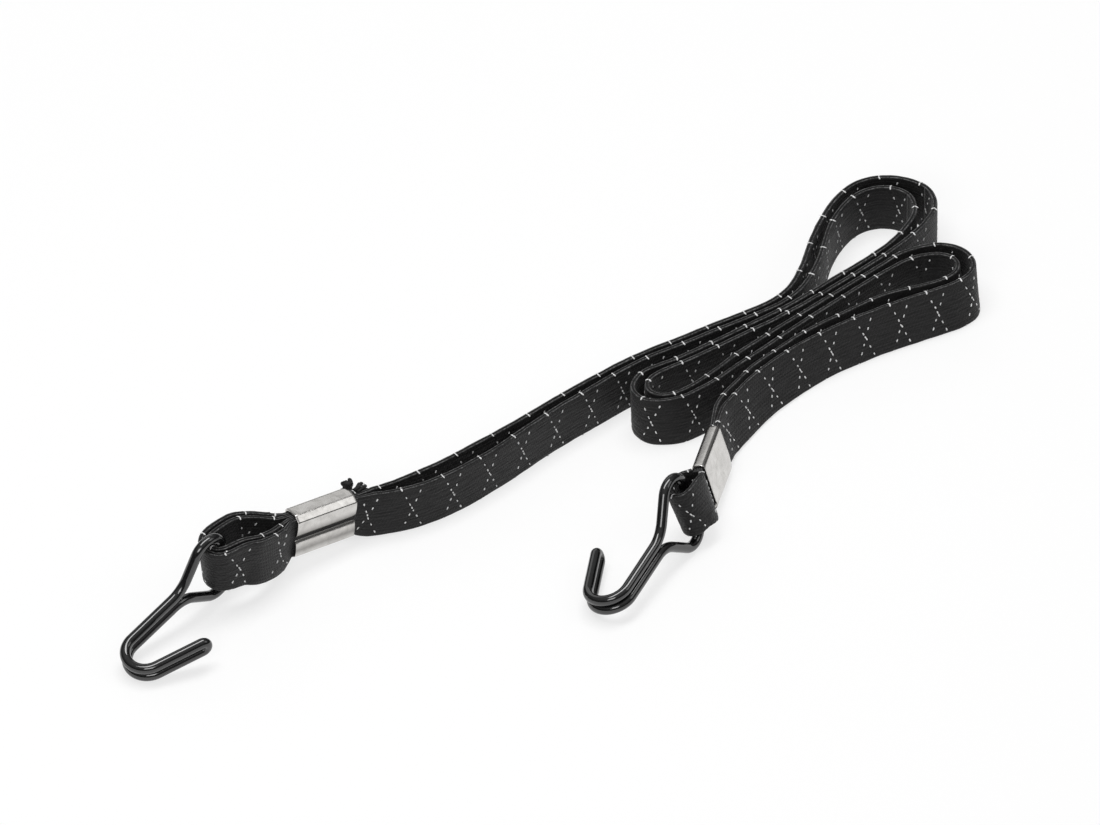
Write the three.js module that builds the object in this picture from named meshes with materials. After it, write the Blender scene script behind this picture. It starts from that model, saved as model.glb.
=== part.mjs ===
// A flat elastic luggage strap with a wire hook at each end, folded up and lying on a table.
// One woven elastic band is doubled: it loops round the right hook as a single ply, runs to the left hook
// as two plies, loops round it as two plies and ends inside the left ferrule. Each hook is a hairpin of
// plastic-coated steel wire whose two bent-in ends hold the band loop between them.
// Millimetres, +Z up, +X along the strap, origin at the middle of the underside.
import * as THREE from 'three';

// Elastic band: a woven jacket round a flat layer of rubber threads.
const BAND_WIDTH = 16;
const BAND_THICKNESS = 1.5;
const JACKET_WALL = 0.3;
const RUBBER_CLEARANCE = 0.08;
const SELVEDGE_HEIGHT = 0.5;
const SELVEDGE_DEPTH = 0.3;
const CUT_END_LENGTH = 4;
const CUT_END_SPREAD = 0.3;
const SEAM_GAP = 0.3;

// Crimp ferrules: flattened sleeves that hold the plies pressed together.
const FERRULE_LENGTH = 21;
const FERRULE_HEIGHT = 15.4;
const FERRULE_WALL = 0.7;
const FERRULE_CORNER = 1.5;
const CRIMPED_PLY = 1.15;
const PLY_CLEARANCE = 0.2;
const FERRULE_LEAD = 1.2;
const SEAM_GROOVE_WIDTH = 0.9;
const SEAM_GROOVE_DEPTH = 0.4;

// Hook: coated wire, bent from one length.
const WIRE_DIAMETER = 2.2;
const COAT_WALL = 0.45;
const COAT_CLEARANCE = 0.05;
const WIRE_SPACING = 3.5;
const YOKE_CLEARANCE = 2.4;
const STUB_ENGAGEMENT = 3.5;
const ARCH_RADIUS = 5.5;
const YOKE_ANGLE = 46;
const YOKE_BEND_RADIUS = 10;
const HOOK_REACH = 45.2;
const HOOK_BEND_RADIUS = 6.4;
const HOOK_TURN = 160;
const TIP_LENGTH = 14.4;
const LOOP_CLEARANCE = 1.1;

// Fineness of the facets.
const WIRE_SIDES = 8;
const WIRE_STEP_ANGLE = 26;
const BAND_STEP_ANGLE = 17;
const BAND_STEP_TWIST = 3;
const BAND_STEP_LENGTH = 30;
const CORNER_STEPS = 3;

// How the gaps between turns are measured: samples between route points, and the stretch of band that
// counts as one turn.
const GAP_SAMPLES = 12;
const GAP_OWN_LENGTH = 18;

// How each end lies on the table: where the ferrule starts and ends, how high its band edge is lifted
// there, how far the band leans over, where the hook's crossbar stands, how far the loop's end lies beyond
// it, and how the hook is turned.
const LEFT_END = {
  inner: [-77, 0.6],
  outer: [-96, 1.9],
  innerLift: 1.9,
  outerLift: 3.9,
  lean: [0, 0],
  crossbar: [-121.6, 2.8],
  slack: 2.6,
  heading: -174.6,
  droop: 16.7,
  roll: -3.7,
  hand: 1,
};
const RIGHT_END = {
  inner: [26.5, -43.2],
  outer: [11.2, -55.4],
  innerLift: 0.5,
  outerLift: 2.55,
  lean: [-0.2, 0.25],
  crossbar: [0.8, -61],
  slack: 2.2,
  heading: -156.6,
  droop: 8.6,
  roll: 16.9,
  hand: -1,
};

// Loops of band round the crossbars: along the loop as a share of its length, and the half-width there.
const LEFT_BELLY_BACK = [[0.2, 3.9], [0.4, 6.8], [0.64, 8.2], [0.82, 7.2]];
const LEFT_BELLY_FRONT = [[0.2, 3.7], [0.4, 5.4], [0.64, 6.5], [0.82, 6]];
const RIGHT_BELLY_BACK = [[0.22, 1.9], [0.55, 3.6]];
const RIGHT_BELLY_FRONT = [[0.22, 1.8], [0.5, 3], [0.8, 3.2]];
const LOOP_ARC = [75, 40, 0, -40, -75];

// Route of each ply over the table, chosen by hand: x, y at mid-width, the lean towards +Y in degrees and,
// near the hooks, the height of the lower edge. The first ply is in front on the left run, and the second
// is behind it.
const FIRST_LEFT_RUN = [
  [-72, -2.9, 0, 0.9], [-65, -5.8, 0, 0.4], [-57, -8.2, 0, 0.2], [-46, -9.5, 0, 0.05], [-31, -9.2, 0],
  [-18, -7.8, 0], [-4, -6.4, 0],
];
const FIRST_FOLDS = [
  [8, -5.9, 0], [20, -5.4, 0], [30, -5.7, 0], [42, -7.4, 0], [54, -8.9, 0], [66, -10.6, 0],
  [75, -11.3, 0], [82, -10.6, 0], [88.8, -8, 0], [98, -2.2, 0], [108.2, 6, 0], [115.2, 10, 0],
  [122.5, 12.3, 0], [128, 11.9, 0], [132, 9.8, 0], [134.6, 6.6, 0], [135.5, 2.6, 0], [134, -1.8, 0],
  [131, -5.2, 0], [123.5, -8.8, 0], [117, -10.7, 0], [108, -11.9, 0], [97, -12.5, 0], [85, -13.3, 0],
  [75, -13.6, 0], [60, -12.9, 0], [41, -11.9, 0], [31, -10.6, 0], [25.5, -9.8, 0], [20.8, -11.2, 1],
  [17.8, -14, 3], [16.9, -17.6, 4], [17.8, -21, 5], [20.8, -24, 7], [25.8, -26.4, 8], [32.6, -27.1, 8],
  [40.3, -26.9, 8], [48.7, -25.8, 8], [60, -24.6, 7], [70, -23.3, 6], [80, -22.1, 4], [90, -21.3, 4],
  [100, -20.6, 4], [110, -20.2, 4], [116, -20.3, 4], [120.5, -21.3, 4], [125.1, -23.8, 4],
  [127.3, -27, 4], [127, -30.9, 6], [124.2, -33.7, 8], [119.5, -34.3, 10], [114, -33, 10],
];
const FIRST_RIGHT_RUN = [
  [107, -30.5, 10], [100, -28.6, 10], [87, -27.6, 10], [78, -27.1, 10], [71.6, -27.1, 11],
  [65, -28, 14], [58, -28.9, 16], [51, -30.1, 17, 0.1], [44, -32.2, 18, 0.15], [38, -34.3, 19, 0.25],
  [33, -36.7, 19, 0.4],
];
const SECOND_LEFT_RUN = [
  [-71, -1.1, 0, 0.9], [-64, -2.3, 0, 0.4], [-56, -3.2, 0, 0.2], [-46, -4, 0, 0.05], [-31, -4, 0],
  [-16, -3.8, 0], [-4, -3.1, 0],
];
const SECOND_FOLDS = [
  [8, -2.8, 0], [20, -2.7, 0], [31, -3.4, 0], [42, -5, 0], [54, -6.5, 0], [66, -8.2, 0],
  [74, -8.9, 0], [81.5, -7.6, 0], [89.8, -3.1, 0], [100.4, 4.9, 0], [108.5, 10.2, 0], [117.6, 14.7, 0],
  [126.3, 16.5, 0], [132.2, 15, 0], [136.8, 11.8, 0], [140.3, 7, 0], [141.6, 2.1, 0], [140.4, -2.9, 0],
  [137.4, -6.9, 0], [130.7, -10.2, 0], [124.2, -12, 0], [119, -13, 0], [111, -14, 0], [100, -14.9, 0],
  [85, -15.7, 0], [75, -15.9, 0], [60, -15.4, 0], [41, -14.3, 0], [33, -13.4, 0], [27, -13, 0],
  [23, -14.3, 1], [21, -17.2, 3], [21.6, -20.8, 4], [24.8, -23.4, 6], [31, -24.3, 6], [39.5, -23.6, 6],
  [49.8, -21.9, 6], [60, -20.9, 6], [70, -20, 5], [80, -19.2, 4], [90, -18.5, 4], [100, -17.9, 4],
  [110, -17.2, 4], [117, -16.8, 4], [123, -18.1, 4], [128.2, -20.8, 4], [130.9, -24, 4],
  [132.2, -28.4, 4], [130.8, -33.8, 7], [127.3, -37, 10], [121.5, -37.7, 10], [115, -36.6, 10],
];
const SECOND_RIGHT_RUN = [
  [108, -35, 10], [99, -33.1, 10], [87, -31.3, 10], [76, -30.5, 10], [65, -30.8, 14],
  [51, -32.9, 18, 0.1], [40, -36.4, 19, 0.2], [33.5, -39, 20, 0.4],
];

// Sizes that follow from the ones above.
const COATED_DIAMETER = WIRE_DIAMETER + 2 * (COAT_CLEARANCE + COAT_WALL);
const CRIMPED_WIDTH = FERRULE_HEIGHT - 2 * (FERRULE_WALL + PLY_CLEARANCE);
const PLY_PITCH = CRIMPED_PLY + PLY_CLEARANCE;
const YOKE_HALF = BAND_WIDTH / 2 + YOKE_CLEARANCE + COATED_DIAMETER / 2;
const STUB_END = BAND_WIDTH / 2 - STUB_ENGAGEMENT;
const INNER_LOOP_RADIUS = COATED_DIAMETER / 2 + LOOP_CLEARANCE + BAND_THICKNESS / 2;
const LOOP_PLY_PITCH = BAND_THICKNESS + 2 * SEAM_GAP;
const UP = new THREE.Vector3(0, 0, 1);

const BLACK_WEAVE = new THREE.MeshStandardMaterial({ color: 0x1c1c1e, roughness: 0.9, metalness: 0 });
const RUBBER = new THREE.MeshStandardMaterial({ color: 0xb59a72, roughness: 0.8, metalness: 0 });
const NICKEL = new THREE.MeshStandardMaterial({ color: 0xc8c5bf, roughness: 0.3, metalness: 1 });
const GLOSS_BLACK = new THREE.MeshStandardMaterial({ color: 0x0c0c0d, roughness: 0.2, metalness: 0 });
const STEEL = new THREE.MeshStandardMaterial({ color: 0x8d9094, roughness: 0.35, metalness: 1 });

const strap = new THREE.Group();

function addPart(name, geometry, material) {
  const mesh = new THREE.Mesh(geometry, material);
  mesh.name = name;
  strap.add(mesh);
}

// Joins a row of sections into one closed solid. A station has a position and its side, up and tangent
// axes, and sectionAt gives its outline and its hole, if any, as points in side and up, anticlockwise.
function sweep(stations, sectionAt) {
  const vertices = [];
  const triangles = [];
  const sections = stations.map(sectionAt);
  const outlineCount = sections[0].outline.length;
  const holeCount = sections[0].hole ? sections[0].hole.length : 0;
  const ringCount = outlineCount + holeCount;
  stations.forEach((station, index) => {
    const ring = [...sections[index].outline, ...(sections[index].hole || [])];
    for (const [side, up] of ring) {
      const vertex = station.position.clone();
      vertex.addScaledVector(station.side, side).addScaledVector(station.up, up);
      vertices.push(vertex.x, vertex.y, vertex.z);
    }
  });
  const addWall = (first, count, outward) => {
    for (let row = 0; row + 1 < stations.length; row += 1) {
      for (let i = 0; i < count; i += 1) {
        const a = row * ringCount + first + i;
        const b = row * ringCount + first + ((i + 1) % count);
        const c = b + ringCount;
        const d = a + ringCount;
        triangles.push(...(outward ? [a, b, c, a, c, d] : [a, c, b, a, d, c]));
      }
    }
  };
  addWall(0, outlineCount, true);
  addWall(outlineCount, holeCount, false);
  const flat = (points) => points.map(([side, up]) => new THREE.Vector2(side, up));
  const addCap = (row, forward) => {
    const { outline, hole } = sections[row];
    const holes = hole ? [flat(hole).reverse()] : [];
    const order = hole ? hole.map((point, i) => outlineCount + holeCount - 1 - i) : [];
    const index = [...outline.map((point, i) => i), ...order].map((i) => i + row * ringCount);
    for (const [a, b, c] of THREE.ShapeUtils.triangulateShape(flat(outline), holes)) {
      triangles.push(index[a], ...(forward ? [index[b], index[c]] : [index[c], index[b]]));
    }
  };
  addCap(0, false);
  addCap(stations.length - 1, true);
  const geometry = new THREE.BufferGeometry();
  geometry.setAttribute('position', new THREE.Float32BufferAttribute(vertices, 3));
  geometry.setIndex(triangles);
  return geometry;
}

function makeStation(position, tangent, upwards) {
  const forward = tangent.clone().normalize();
  const up = upwards.clone().addScaledVector(forward, -upwards.dot(forward)).normalize();
  const side = new THREE.Vector3().crossVectors(up, forward);
  return { position, tangent: forward, up, side };
}

function rectangle(halfSide, halfUp) {
  return [[halfSide, -halfUp], [halfSide, halfUp], [-halfSide, halfUp], [-halfSide, -halfUp]];
}

function polygon(radius, sides) {
  return Array.from({ length: sides }, (unused, i) => {
    const angle = (2 * Math.PI * (i + 0.5)) / sides;
    return [radius * Math.cos(angle), radius * Math.sin(angle)];
  });
}

function roundedRectangle(halfSide, halfUp, radius) {
  const corners = [[1, 1, 0], [-1, 1, 90], [-1, -1, 180], [1, -1, 270]];
  return corners.flatMap(([side, up, start]) =>
    Array.from({ length: CORNER_STEPS + 1 }, (unused, i) => {
      const angle = THREE.MathUtils.degToRad(start + (90 * i) / CORNER_STEPS);
      return [
        side * (halfSide - radius) + radius * Math.cos(angle),
        up * (halfUp - radius) + radius * Math.sin(angle),
      ];
    }),
  );
}

// Ferrules

function ferruleThickness(plies) {
  return 2 * FERRULE_WALL + plies * CRIMPED_PLY + (plies + 1) * PLY_CLEARANCE;
}

// The axis of a ferrule, from its inner end on the run to its outer end at the loop.
function ferruleAxis(end) {
  const upwards = new THREE.Vector3(end.lean[0], end.lean[1], 1).normalize();
  const height = (lift) => lift + (BAND_WIDTH / 2) * upwards.z;
  const inner = new THREE.Vector3(end.inner[0], end.inner[1], height(end.innerLift));
  const outer = new THREE.Vector3(end.outer[0], end.outer[1], height(end.outerLift));
  const station = makeStation(inner, outer.sub(inner), upwards);
  const at = (along, across) =>
    inner.clone().addScaledVector(station.tangent, along).addScaledVector(station.side, across);
  return { ...station, at };
}

// A sleeve round the plies. A seamed one has a groove along its front, where the edges of its strip meet.
function ferrule(end, plies, seamed) {
  const axis = ferruleAxis(end);
  const halfThickness = ferruleThickness(plies) / 2;
  const outline = roundedRectangle(halfThickness, FERRULE_HEIGHT / 2, FERRULE_CORNER);
  const bore = roundedRectangle(
    halfThickness - FERRULE_WALL,
    FERRULE_HEIGHT / 2 - FERRULE_WALL,
    FERRULE_CORNER - FERRULE_WALL,
  );
  if (seamed) {
    outline.push([halfThickness, -SEAM_GROOVE_WIDTH / 2]);
    outline.push([halfThickness - SEAM_GROOVE_DEPTH, 0]);
    outline.push([halfThickness, SEAM_GROOVE_WIDTH / 2]);
  }
  const ends = [0, FERRULE_LENGTH].map((along) => makeStation(axis.at(along, 0), axis.tangent, axis.up));
  return sweep(ends, () => ({ outline, hole: bore }));
}

// Hooks

// A line of points with its corners rounded to the given radii.
function roundCorners(corners, radii) {
  const points = [corners[0]];
  for (let i = 1; i + 1 < corners.length; i += 1) {
    const back = corners[i - 1].clone().sub(corners[i]).normalize();
    const ahead = corners[i + 1].clone().sub(corners[i]).normalize();
    const half = back.angleTo(ahead) / 2;
    const radius = radii[i - 1];
    const bisector = back.clone().add(ahead).normalize();
    const centre = corners[i].clone().addScaledVector(bisector, radius / Math.sin(half));
    const start = corners[i].clone().addScaledVector(back, radius / Math.tan(half)).sub(centre);
    const finish = corners[i].clone().addScaledVector(ahead, radius / Math.tan(half)).sub(centre);
    const turn = start.angleTo(finish);
    const axis = new THREE.Vector3().crossVectors(start, finish).normalize();
    const steps = Math.ceil(turn / THREE.MathUtils.degToRad(WIRE_STEP_ANGLE));
    for (let k = 0; k <= steps; k += 1) {
      points.push(start.clone().applyAxisAngle(axis, (turn * k) / steps).add(centre));
    }
  }
  points.push(corners[corners.length - 1]);
  return points;
}

// One half of the hairpin, from the stub inside the band loop to the tip. x runs along the shank, y to the
// side on which the tip lies and z along the crossbar.
function hookHalf(side, hand) {
  const shankHeight = (side * WIRE_SPACING) / 2;
  const point = (x, y, z) => new THREE.Vector3(x, y, z);
  const shankEnd = HOOK_REACH - HOOK_BEND_RADIUS;
  const slope = THREE.MathUtils.degToRad(YOKE_ANGLE);
  const archCorner = YOKE_HALF - ARCH_RADIUS + ARCH_RADIUS * Math.tan((Math.PI / 2 + slope) / 2);
  const joint = (archCorner - WIRE_SPACING / 2) / Math.tan(slope);
  const head = roundCorners(
    [
      point(0, 0, side * STUB_END),
      point(0, 0, side * archCorner),
      point(joint, 0, shankHeight),
      point(shankEnd, 0, shankHeight),
    ],
    [ARCH_RADIUS, YOKE_BEND_RADIUS],
  );
  head.splice(head.length - 1, 1);
  const bendSteps = Math.ceil(HOOK_TURN / WIRE_STEP_ANGLE);
  const bend = Array.from({ length: bendSteps + 1 }, (unused, k) => {
    const angle = THREE.MathUtils.degToRad((HOOK_TURN * k) / bendSteps);
    const sideways = hand * HOOK_BEND_RADIUS * (1 - Math.cos(angle));
    return point(shankEnd + HOOK_BEND_RADIUS * Math.sin(angle), sideways, shankHeight);
  });
  return [...head, ...bend];
}

// The whole wire: one half, a half-turn at the tip, and the other half back again.
function hookPath(hand) {
  const upper = hookHalf(1, hand);
  const lower = hookHalf(-1, hand);
  const turn = THREE.MathUtils.degToRad(HOOK_TURN);
  const tip = new THREE.Vector3(Math.cos(turn), hand * Math.sin(turn), 0);
  const middle = upper[upper.length - 1].clone().setZ(0).addScaledVector(tip, TIP_LENGTH);
  const steps = Math.ceil(180 / WIRE_STEP_ANGLE);
  const hairpin = Array.from({ length: steps + 1 }, (unused, k) => {
    const angle = (Math.PI * k) / steps;
    const point = middle.clone().addScaledVector(tip, (WIRE_SPACING / 2) * Math.sin(angle));
    return point.addScaledVector(UP, (WIRE_SPACING / 2) * Math.cos(angle));
  });
  return [...upper, ...hairpin, ...lower.reverse()];
}

// How a hook lies: its crossbar stands where the band loop holds it, with the lowest wire on the table.
function hookPlace(end) {
  const turn = new THREE.Euler(
    THREE.MathUtils.degToRad(end.roll),
    THREE.MathUtils.degToRad(end.droop),
    THREE.MathUtils.degToRad(end.heading),
    'ZYX',
  );
  const path = hookPath(end.hand).map((point) => point.applyEuler(turn));
  const lowest = Math.min(...path.map((point) => point.z));
  const centre = new THREE.Vector3(end.crossbar[0], end.crossbar[1], COATED_DIAMETER / 2 - lowest);
  return {
    centre,
    crossbar: UP.clone().applyEuler(turn),
    shank: new THREE.Vector3(1, 0, 0).applyEuler(turn),
    across: new THREE.Vector3(0, 1, 0).applyEuler(turn),
    path: path.map((point) => point.add(centre)),
  };
}

// Sections along a wire, turned as little as possible from one to the next.
function wireStations(path, firstUp) {
  let up = firstUp.clone();
  return path.map((position, i) => {
    const before = path[Math.max(i - 1, 0)];
    const after = path[Math.min(i + 1, path.length - 1)];
    const back = position.clone().sub(before).normalize();
    const ahead = after.clone().sub(position).normalize();
    const station = makeStation(position, back.add(ahead), up);
    up = station.up;
    return station;
  });
}

function addHook(name, end) {
  const place = hookPlace(end);
  const stations = wireStations(place.path, place.across);
  const wire = polygon(WIRE_DIAMETER / 2, WIRE_SIDES);
  const bore = polygon(WIRE_DIAMETER / 2 + COAT_CLEARANCE, WIRE_SIDES);
  const skin = polygon(COATED_DIAMETER / 2, WIRE_SIDES);
  addPart(`${name}_wire`, sweep(stations, () => ({ outline: wire })), STEEL);
  addPart(`${name}_coat`, sweep(stations, () => ({ outline: skin, hole: bore })), GLOSS_BLACK);
}

// Band

// A point of a band's route: its middle, the way its width points, and how far it is crimped, from 0 to 1.
function bandPoint(position, upwards, crimp) {
  return { position, upwards: upwards.clone().normalize(), crimp };
}

function tablePoint([x, y, lean, lift = 0]) {
  const angle = THREE.MathUtils.degToRad(lean);
  const upwards = new THREE.Vector3(0, Math.sin(angle), Math.cos(angle));
  const height = lift + (BAND_WIDTH / 2) * Math.cos(angle) + (BAND_THICKNESS / 2) * Math.sin(angle);
  return bandPoint(new THREE.Vector3(x, y, height), upwards, 0);
}

// Points through a ferrule at one ply's place across it, from the run to the loop. They start and finish a
// little outside it, so that the ply is straight all the way through.
function ferrulePoints(end, across, runLead) {
  const axis = ferruleAxis(end);
  const stations = [-runLead, FERRULE_LEAD, FERRULE_LENGTH - FERRULE_LEAD, FERRULE_LENGTH + FERRULE_LEAD];
  return stations.map((along) => bandPoint(axis.at(along, across), axis.up, 1));
}

// Points of one ply round a crossbar, from the ferrule's outer end and back to it. The loop's midline curves
// from the ferrule's direction to square with the crossbar, and its end hangs a little slack.
function loopPoints(end, start, finish, layer) {
  const axis = ferruleAxis(end);
  const { centre, crossbar, shank } = hookPlace(end);
  const mouth = axis.at(FERRULE_LENGTH, 0);
  const loopCentre = centre.clone().addScaledVector(shank, end.slack);
  const along = loopCentre.clone().sub(mouth);
  const across = new THREE.Vector3().crossVectors(crossbar, along).normalize();
  const ahead = new THREE.Vector3().crossVectors(across, crossbar);
  const radius = INNER_LOOP_RADIUS + layer * LOOP_PLY_PITCH;
  const midline = (share) => {
    const square = share * share;
    const cube = square * share;
    const leaving = along.length() * (cube - 2 * square + share);
    const arriving = along.length() * (cube - square);
    const place = mouth.clone().addScaledVector(along, 3 * square - 2 * cube);
    return place.addScaledVector(axis.tangent, leaving).addScaledVector(ahead, arriving);
  };
  const belly = (sign, [share, half]) => {
    const upwards = axis.up.clone().lerp(crossbar, share * share);
    return bandPoint(midline(share).addScaledVector(across, sign * half), upwards, 0);
  };
  const arc = LOOP_ARC.map((degrees) => {
    const angle = THREE.MathUtils.degToRad(degrees);
    const position = loopCentre.clone().addScaledVector(ahead, radius * Math.cos(angle));
    return bandPoint(position.addScaledVector(across, -radius * Math.sin(angle)), crossbar, 0);
  });
  const out = start.map((row) => belly(-1, row));
  const back = finish.map((row) => belly(1, row)).reverse();
  return [...out, ...arc, ...back];
}

// Sections along a route from one of its points to another, closer together where it turns or twists.
function bandStations(points, from, to) {
  const last = points.length - 1;
  const curve = new THREE.CatmullRomCurve3(points.map((point) => point.position), false, 'centripetal');
  const stations = [];
  for (let i = from; i < to; i += 1) {
    const start = points[i];
    const finish = points[i + 1];
    const length = start.position.distanceTo(finish.position);
    const turn = curve.getTangent(i / last).angleTo(curve.getTangent((i + 1) / last));
    const twist = start.upwards.angleTo(finish.upwards);
    const byTurn = turn / THREE.MathUtils.degToRad(BAND_STEP_ANGLE);
    const byTwist = twist / THREE.MathUtils.degToRad(BAND_STEP_TWIST);
    const steps = Math.max(1, Math.ceil(byTurn), Math.ceil(byTwist), Math.ceil(length / BAND_STEP_LENGTH));
    const trim = SEAM_GAP / 2 / length;
    for (let k = 0; k <= steps; k += 1) {
      if (k === steps && i + 1 < to) continue;
      let share = k / steps;
      if (i === from && k === 0 && from > 0) share = trim;
      if (i + 1 === to && k === steps && to < last) share = 1 - trim;
      const parameter = (i + share) / last;
      const upwards = start.upwards.clone().lerp(finish.upwards, share);
      const station = makeStation(curve.getPoint(parameter), curve.getTangent(parameter), upwards);
      const crimp = THREE.MathUtils.lerp(start.crimp, finish.crimp, share);
      station.width = THREE.MathUtils.lerp(BAND_WIDTH, CRIMPED_WIDTH, crimp);
      station.thickness = THREE.MathUtils.lerp(BAND_THICKNESS, CRIMPED_PLY, crimp);
      stations.push(station);
    }
  }
  return stations;
}

function jacketSection({ width, thickness }) {
  const side = thickness / 2;
  const up = width / 2;
  const face = up - SELVEDGE_HEIGHT;
  const rim = side - SELVEDGE_DEPTH;
  const outline = [
    [side, -face], [side, face], [rim, up], [-rim, up],
    [-side, face], [-side, -face], [-rim, -up], [rim, -up],
  ];
  return { outline, hole: rectangle(side - JACKET_WALL, face - JACKET_WALL) };
}

function rubberSection({ width, thickness }) {
  const inset = JACKET_WALL + RUBBER_CLEARANCE;
  return { outline: rectangle(thickness / 2 - inset, width / 2 - SELVEDGE_HEIGHT - inset) };
}

function addBand(name, points, from, to) {
  const stations = bandStations(points, from, to);
  addPart(`${name}_jacket`, sweep(stations, jacketSection), BLACK_WEAVE);
  addPart(`${name}_rubber`, sweep(stations, rubberSection), RUBBER);
}

// The least gap between turns of one ply, measured between points of its bottom, middle and top lines.
function leastGap(points, from, to) {
  const samples = [];
  const curve = new THREE.CatmullRomCurve3(points.map((point) => point.position), false, 'centripetal');
  const last = points.length - 1;
  const lines = [-BAND_WIDTH / 2, 0, BAND_WIDTH / 2];
  for (let i = from * GAP_SAMPLES; i <= to * GAP_SAMPLES; i += 1) {
    const share = i / GAP_SAMPLES;
    const near = points[Math.min(Math.floor(share), last - 1)];
    const next = points[Math.min(Math.floor(share) + 1, last)];
    const upwards = near.upwards.clone().lerp(next.upwards, share % 1);
    const place = share / last;
    const { position, up } = makeStation(curve.getPoint(place), curve.getTangent(place), upwards);
    samples.push(lines.map((height) => position.clone().addScaledVector(up, height)));
  }
  let least = Infinity;
  const travelled = [0];
  for (let i = 1; i < samples.length; i += 1) {
    travelled.push(travelled[i - 1] + samples[i][1].distanceTo(samples[i - 1][1]));
  }
  for (let i = 0; i < samples.length; i += 1) {
    for (let j = i + 1; j < samples.length; j += 1) {
      if (travelled[j] - travelled[i] < GAP_OWN_LENGTH) continue;
      for (let k = 0; k < lines.length; k += 1) {
        least = Math.min(least, samples[i][k].distanceTo(samples[j][k]) - BAND_THICKNESS);
      }
    }
  }
  return least;
}

// Each ply from the left ferrule, through the folds, to the right ferrule. A place across a ferrule counts
// from its axis towards the front.
function addPly(name, leftAcross, rightAcross, leftRun, folds, rightRun) {
  const left = ferrulePoints(LEFT_END, leftAcross, FERRULE_LEAD).slice(0, 2).reverse();
  const right = ferrulePoints(RIGHT_END, rightAcross, FERRULE_LEAD).slice(0, 2);
  const points = [...left, ...[...leftRun, ...folds, ...rightRun].map(tablePoint), ...right];
  const leftSeam = left.length + leftRun.length;
  const rightSeam = leftSeam + folds.length;
  addBand(`left_run_${name.left}`, points, 1, leftSeam);
  addBand(`folded_${name.folded}`, points, leftSeam, rightSeam);
  addBand(`right_run_${name.right}`, points, rightSeam, points.length - 2);
  const gap = leastGap(points, leftSeam, rightSeam);
  console.log(`folded_${name.folded}: least gap between its turns ${gap.toFixed(2)} mm`);
}

// A left loop ply: out of the ferrule beside its run, round the crossbar, and back through the ferrule to a
// cut end. The outer ply's cut end stands further out.
function addLeftLoop(name, layer, runAcross) {
  const run = ferrulePoints(LEFT_END, runAcross, FERRULE_LEAD - 2 * SEAM_GAP);
  const returned = ferrulePoints(LEFT_END, -runAcross, FERRULE_LEAD);
  const thin = (rows) => rows.map(([share, half]) => [share, half - (1 - layer) * LOOP_PLY_PITCH]);
  const loop = loopPoints(LEFT_END, thin(LEFT_BELLY_BACK), thin(LEFT_BELLY_FRONT), layer);
  const axis = ferruleAxis(LEFT_END);
  const spread = 1 + CUT_END_SPREAD * layer;
  const cutEnd = bandPoint(axis.at(-CUT_END_LENGTH, -runAcross * spread - SEAM_GAP), axis.up, 0);
  const points = [cutEnd, ...returned, ...loop, ...run.reverse()];
  addBand(name, points, 0, points.length - 1);
}

function addRightLoop() {
  const out = ferrulePoints(RIGHT_END, PLY_PITCH / 2, FERRULE_LEAD - 2 * SEAM_GAP);
  const back = ferrulePoints(RIGHT_END, -PLY_PITCH / 2, FERRULE_LEAD - 2 * SEAM_GAP);
  const loop = loopPoints(RIGHT_END, RIGHT_BELLY_BACK, RIGHT_BELLY_FRONT, 0);
  const points = [...back, ...loop, ...out.reverse()];
  addBand('right_loop', points, 0, points.length - 1);
}

addPly(
  { left: 'front', folded: 'first', right: 'back' },
  PLY_PITCH * 1.5, -PLY_PITCH / 2, FIRST_LEFT_RUN, FIRST_FOLDS, FIRST_RIGHT_RUN,
);
addPly(
  { left: 'rear', folded: 'second', right: 'front' },
  PLY_PITCH / 2, PLY_PITCH / 2, SECOND_LEFT_RUN, SECOND_FOLDS, SECOND_RIGHT_RUN,
);
addLeftLoop('left_loop_outer', 1, PLY_PITCH * 1.5);
addLeftLoop('left_loop_inner', 0, PLY_PITCH / 2);
addRightLoop();
addPart('left_ferrule', ferrule(LEFT_END, 4, true), NICKEL);
addPart('right_ferrule', ferrule(RIGHT_END, 2, false), NICKEL);
addHook('left_hook', LEFT_END);
addHook('right_hook', RIGHT_END);

// The origin is at the middle of the underside.
const box = new THREE.Box3().setFromObject(strap);
const middle = box.getCenter(new THREE.Vector3());
strap.position.set(-middle.x, -middle.y, -box.min.z);
console.log(`origin moved by ${strap.position.toArray().map((value) => value.toFixed(3))}`);
for (const [name, end] of [['left', LEFT_END], ['right', RIGHT_END]]) {
  const { centre, crossbar } = hookPlace(end);
  const place = centre.add(strap.position).toArray().map((value) => value.toFixed(3));
  console.log(`${name} crossbar at ${place} along ${crossbar.toArray().map((value) => value.toFixed(5))}`);
}

export default strap;
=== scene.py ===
# %% [markdown]
# # A flat elastic luggage strap
# The object is one woven elastic band, doubled, with a crimped metal ferrule and a plastic-coated wire
# hook at each end. It lies folded on its edge. The CAD frame already holds every piece at its true place,
# so this lesson replaces the plain solids by detailed pieces and gives each one its finish.

import math

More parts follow.
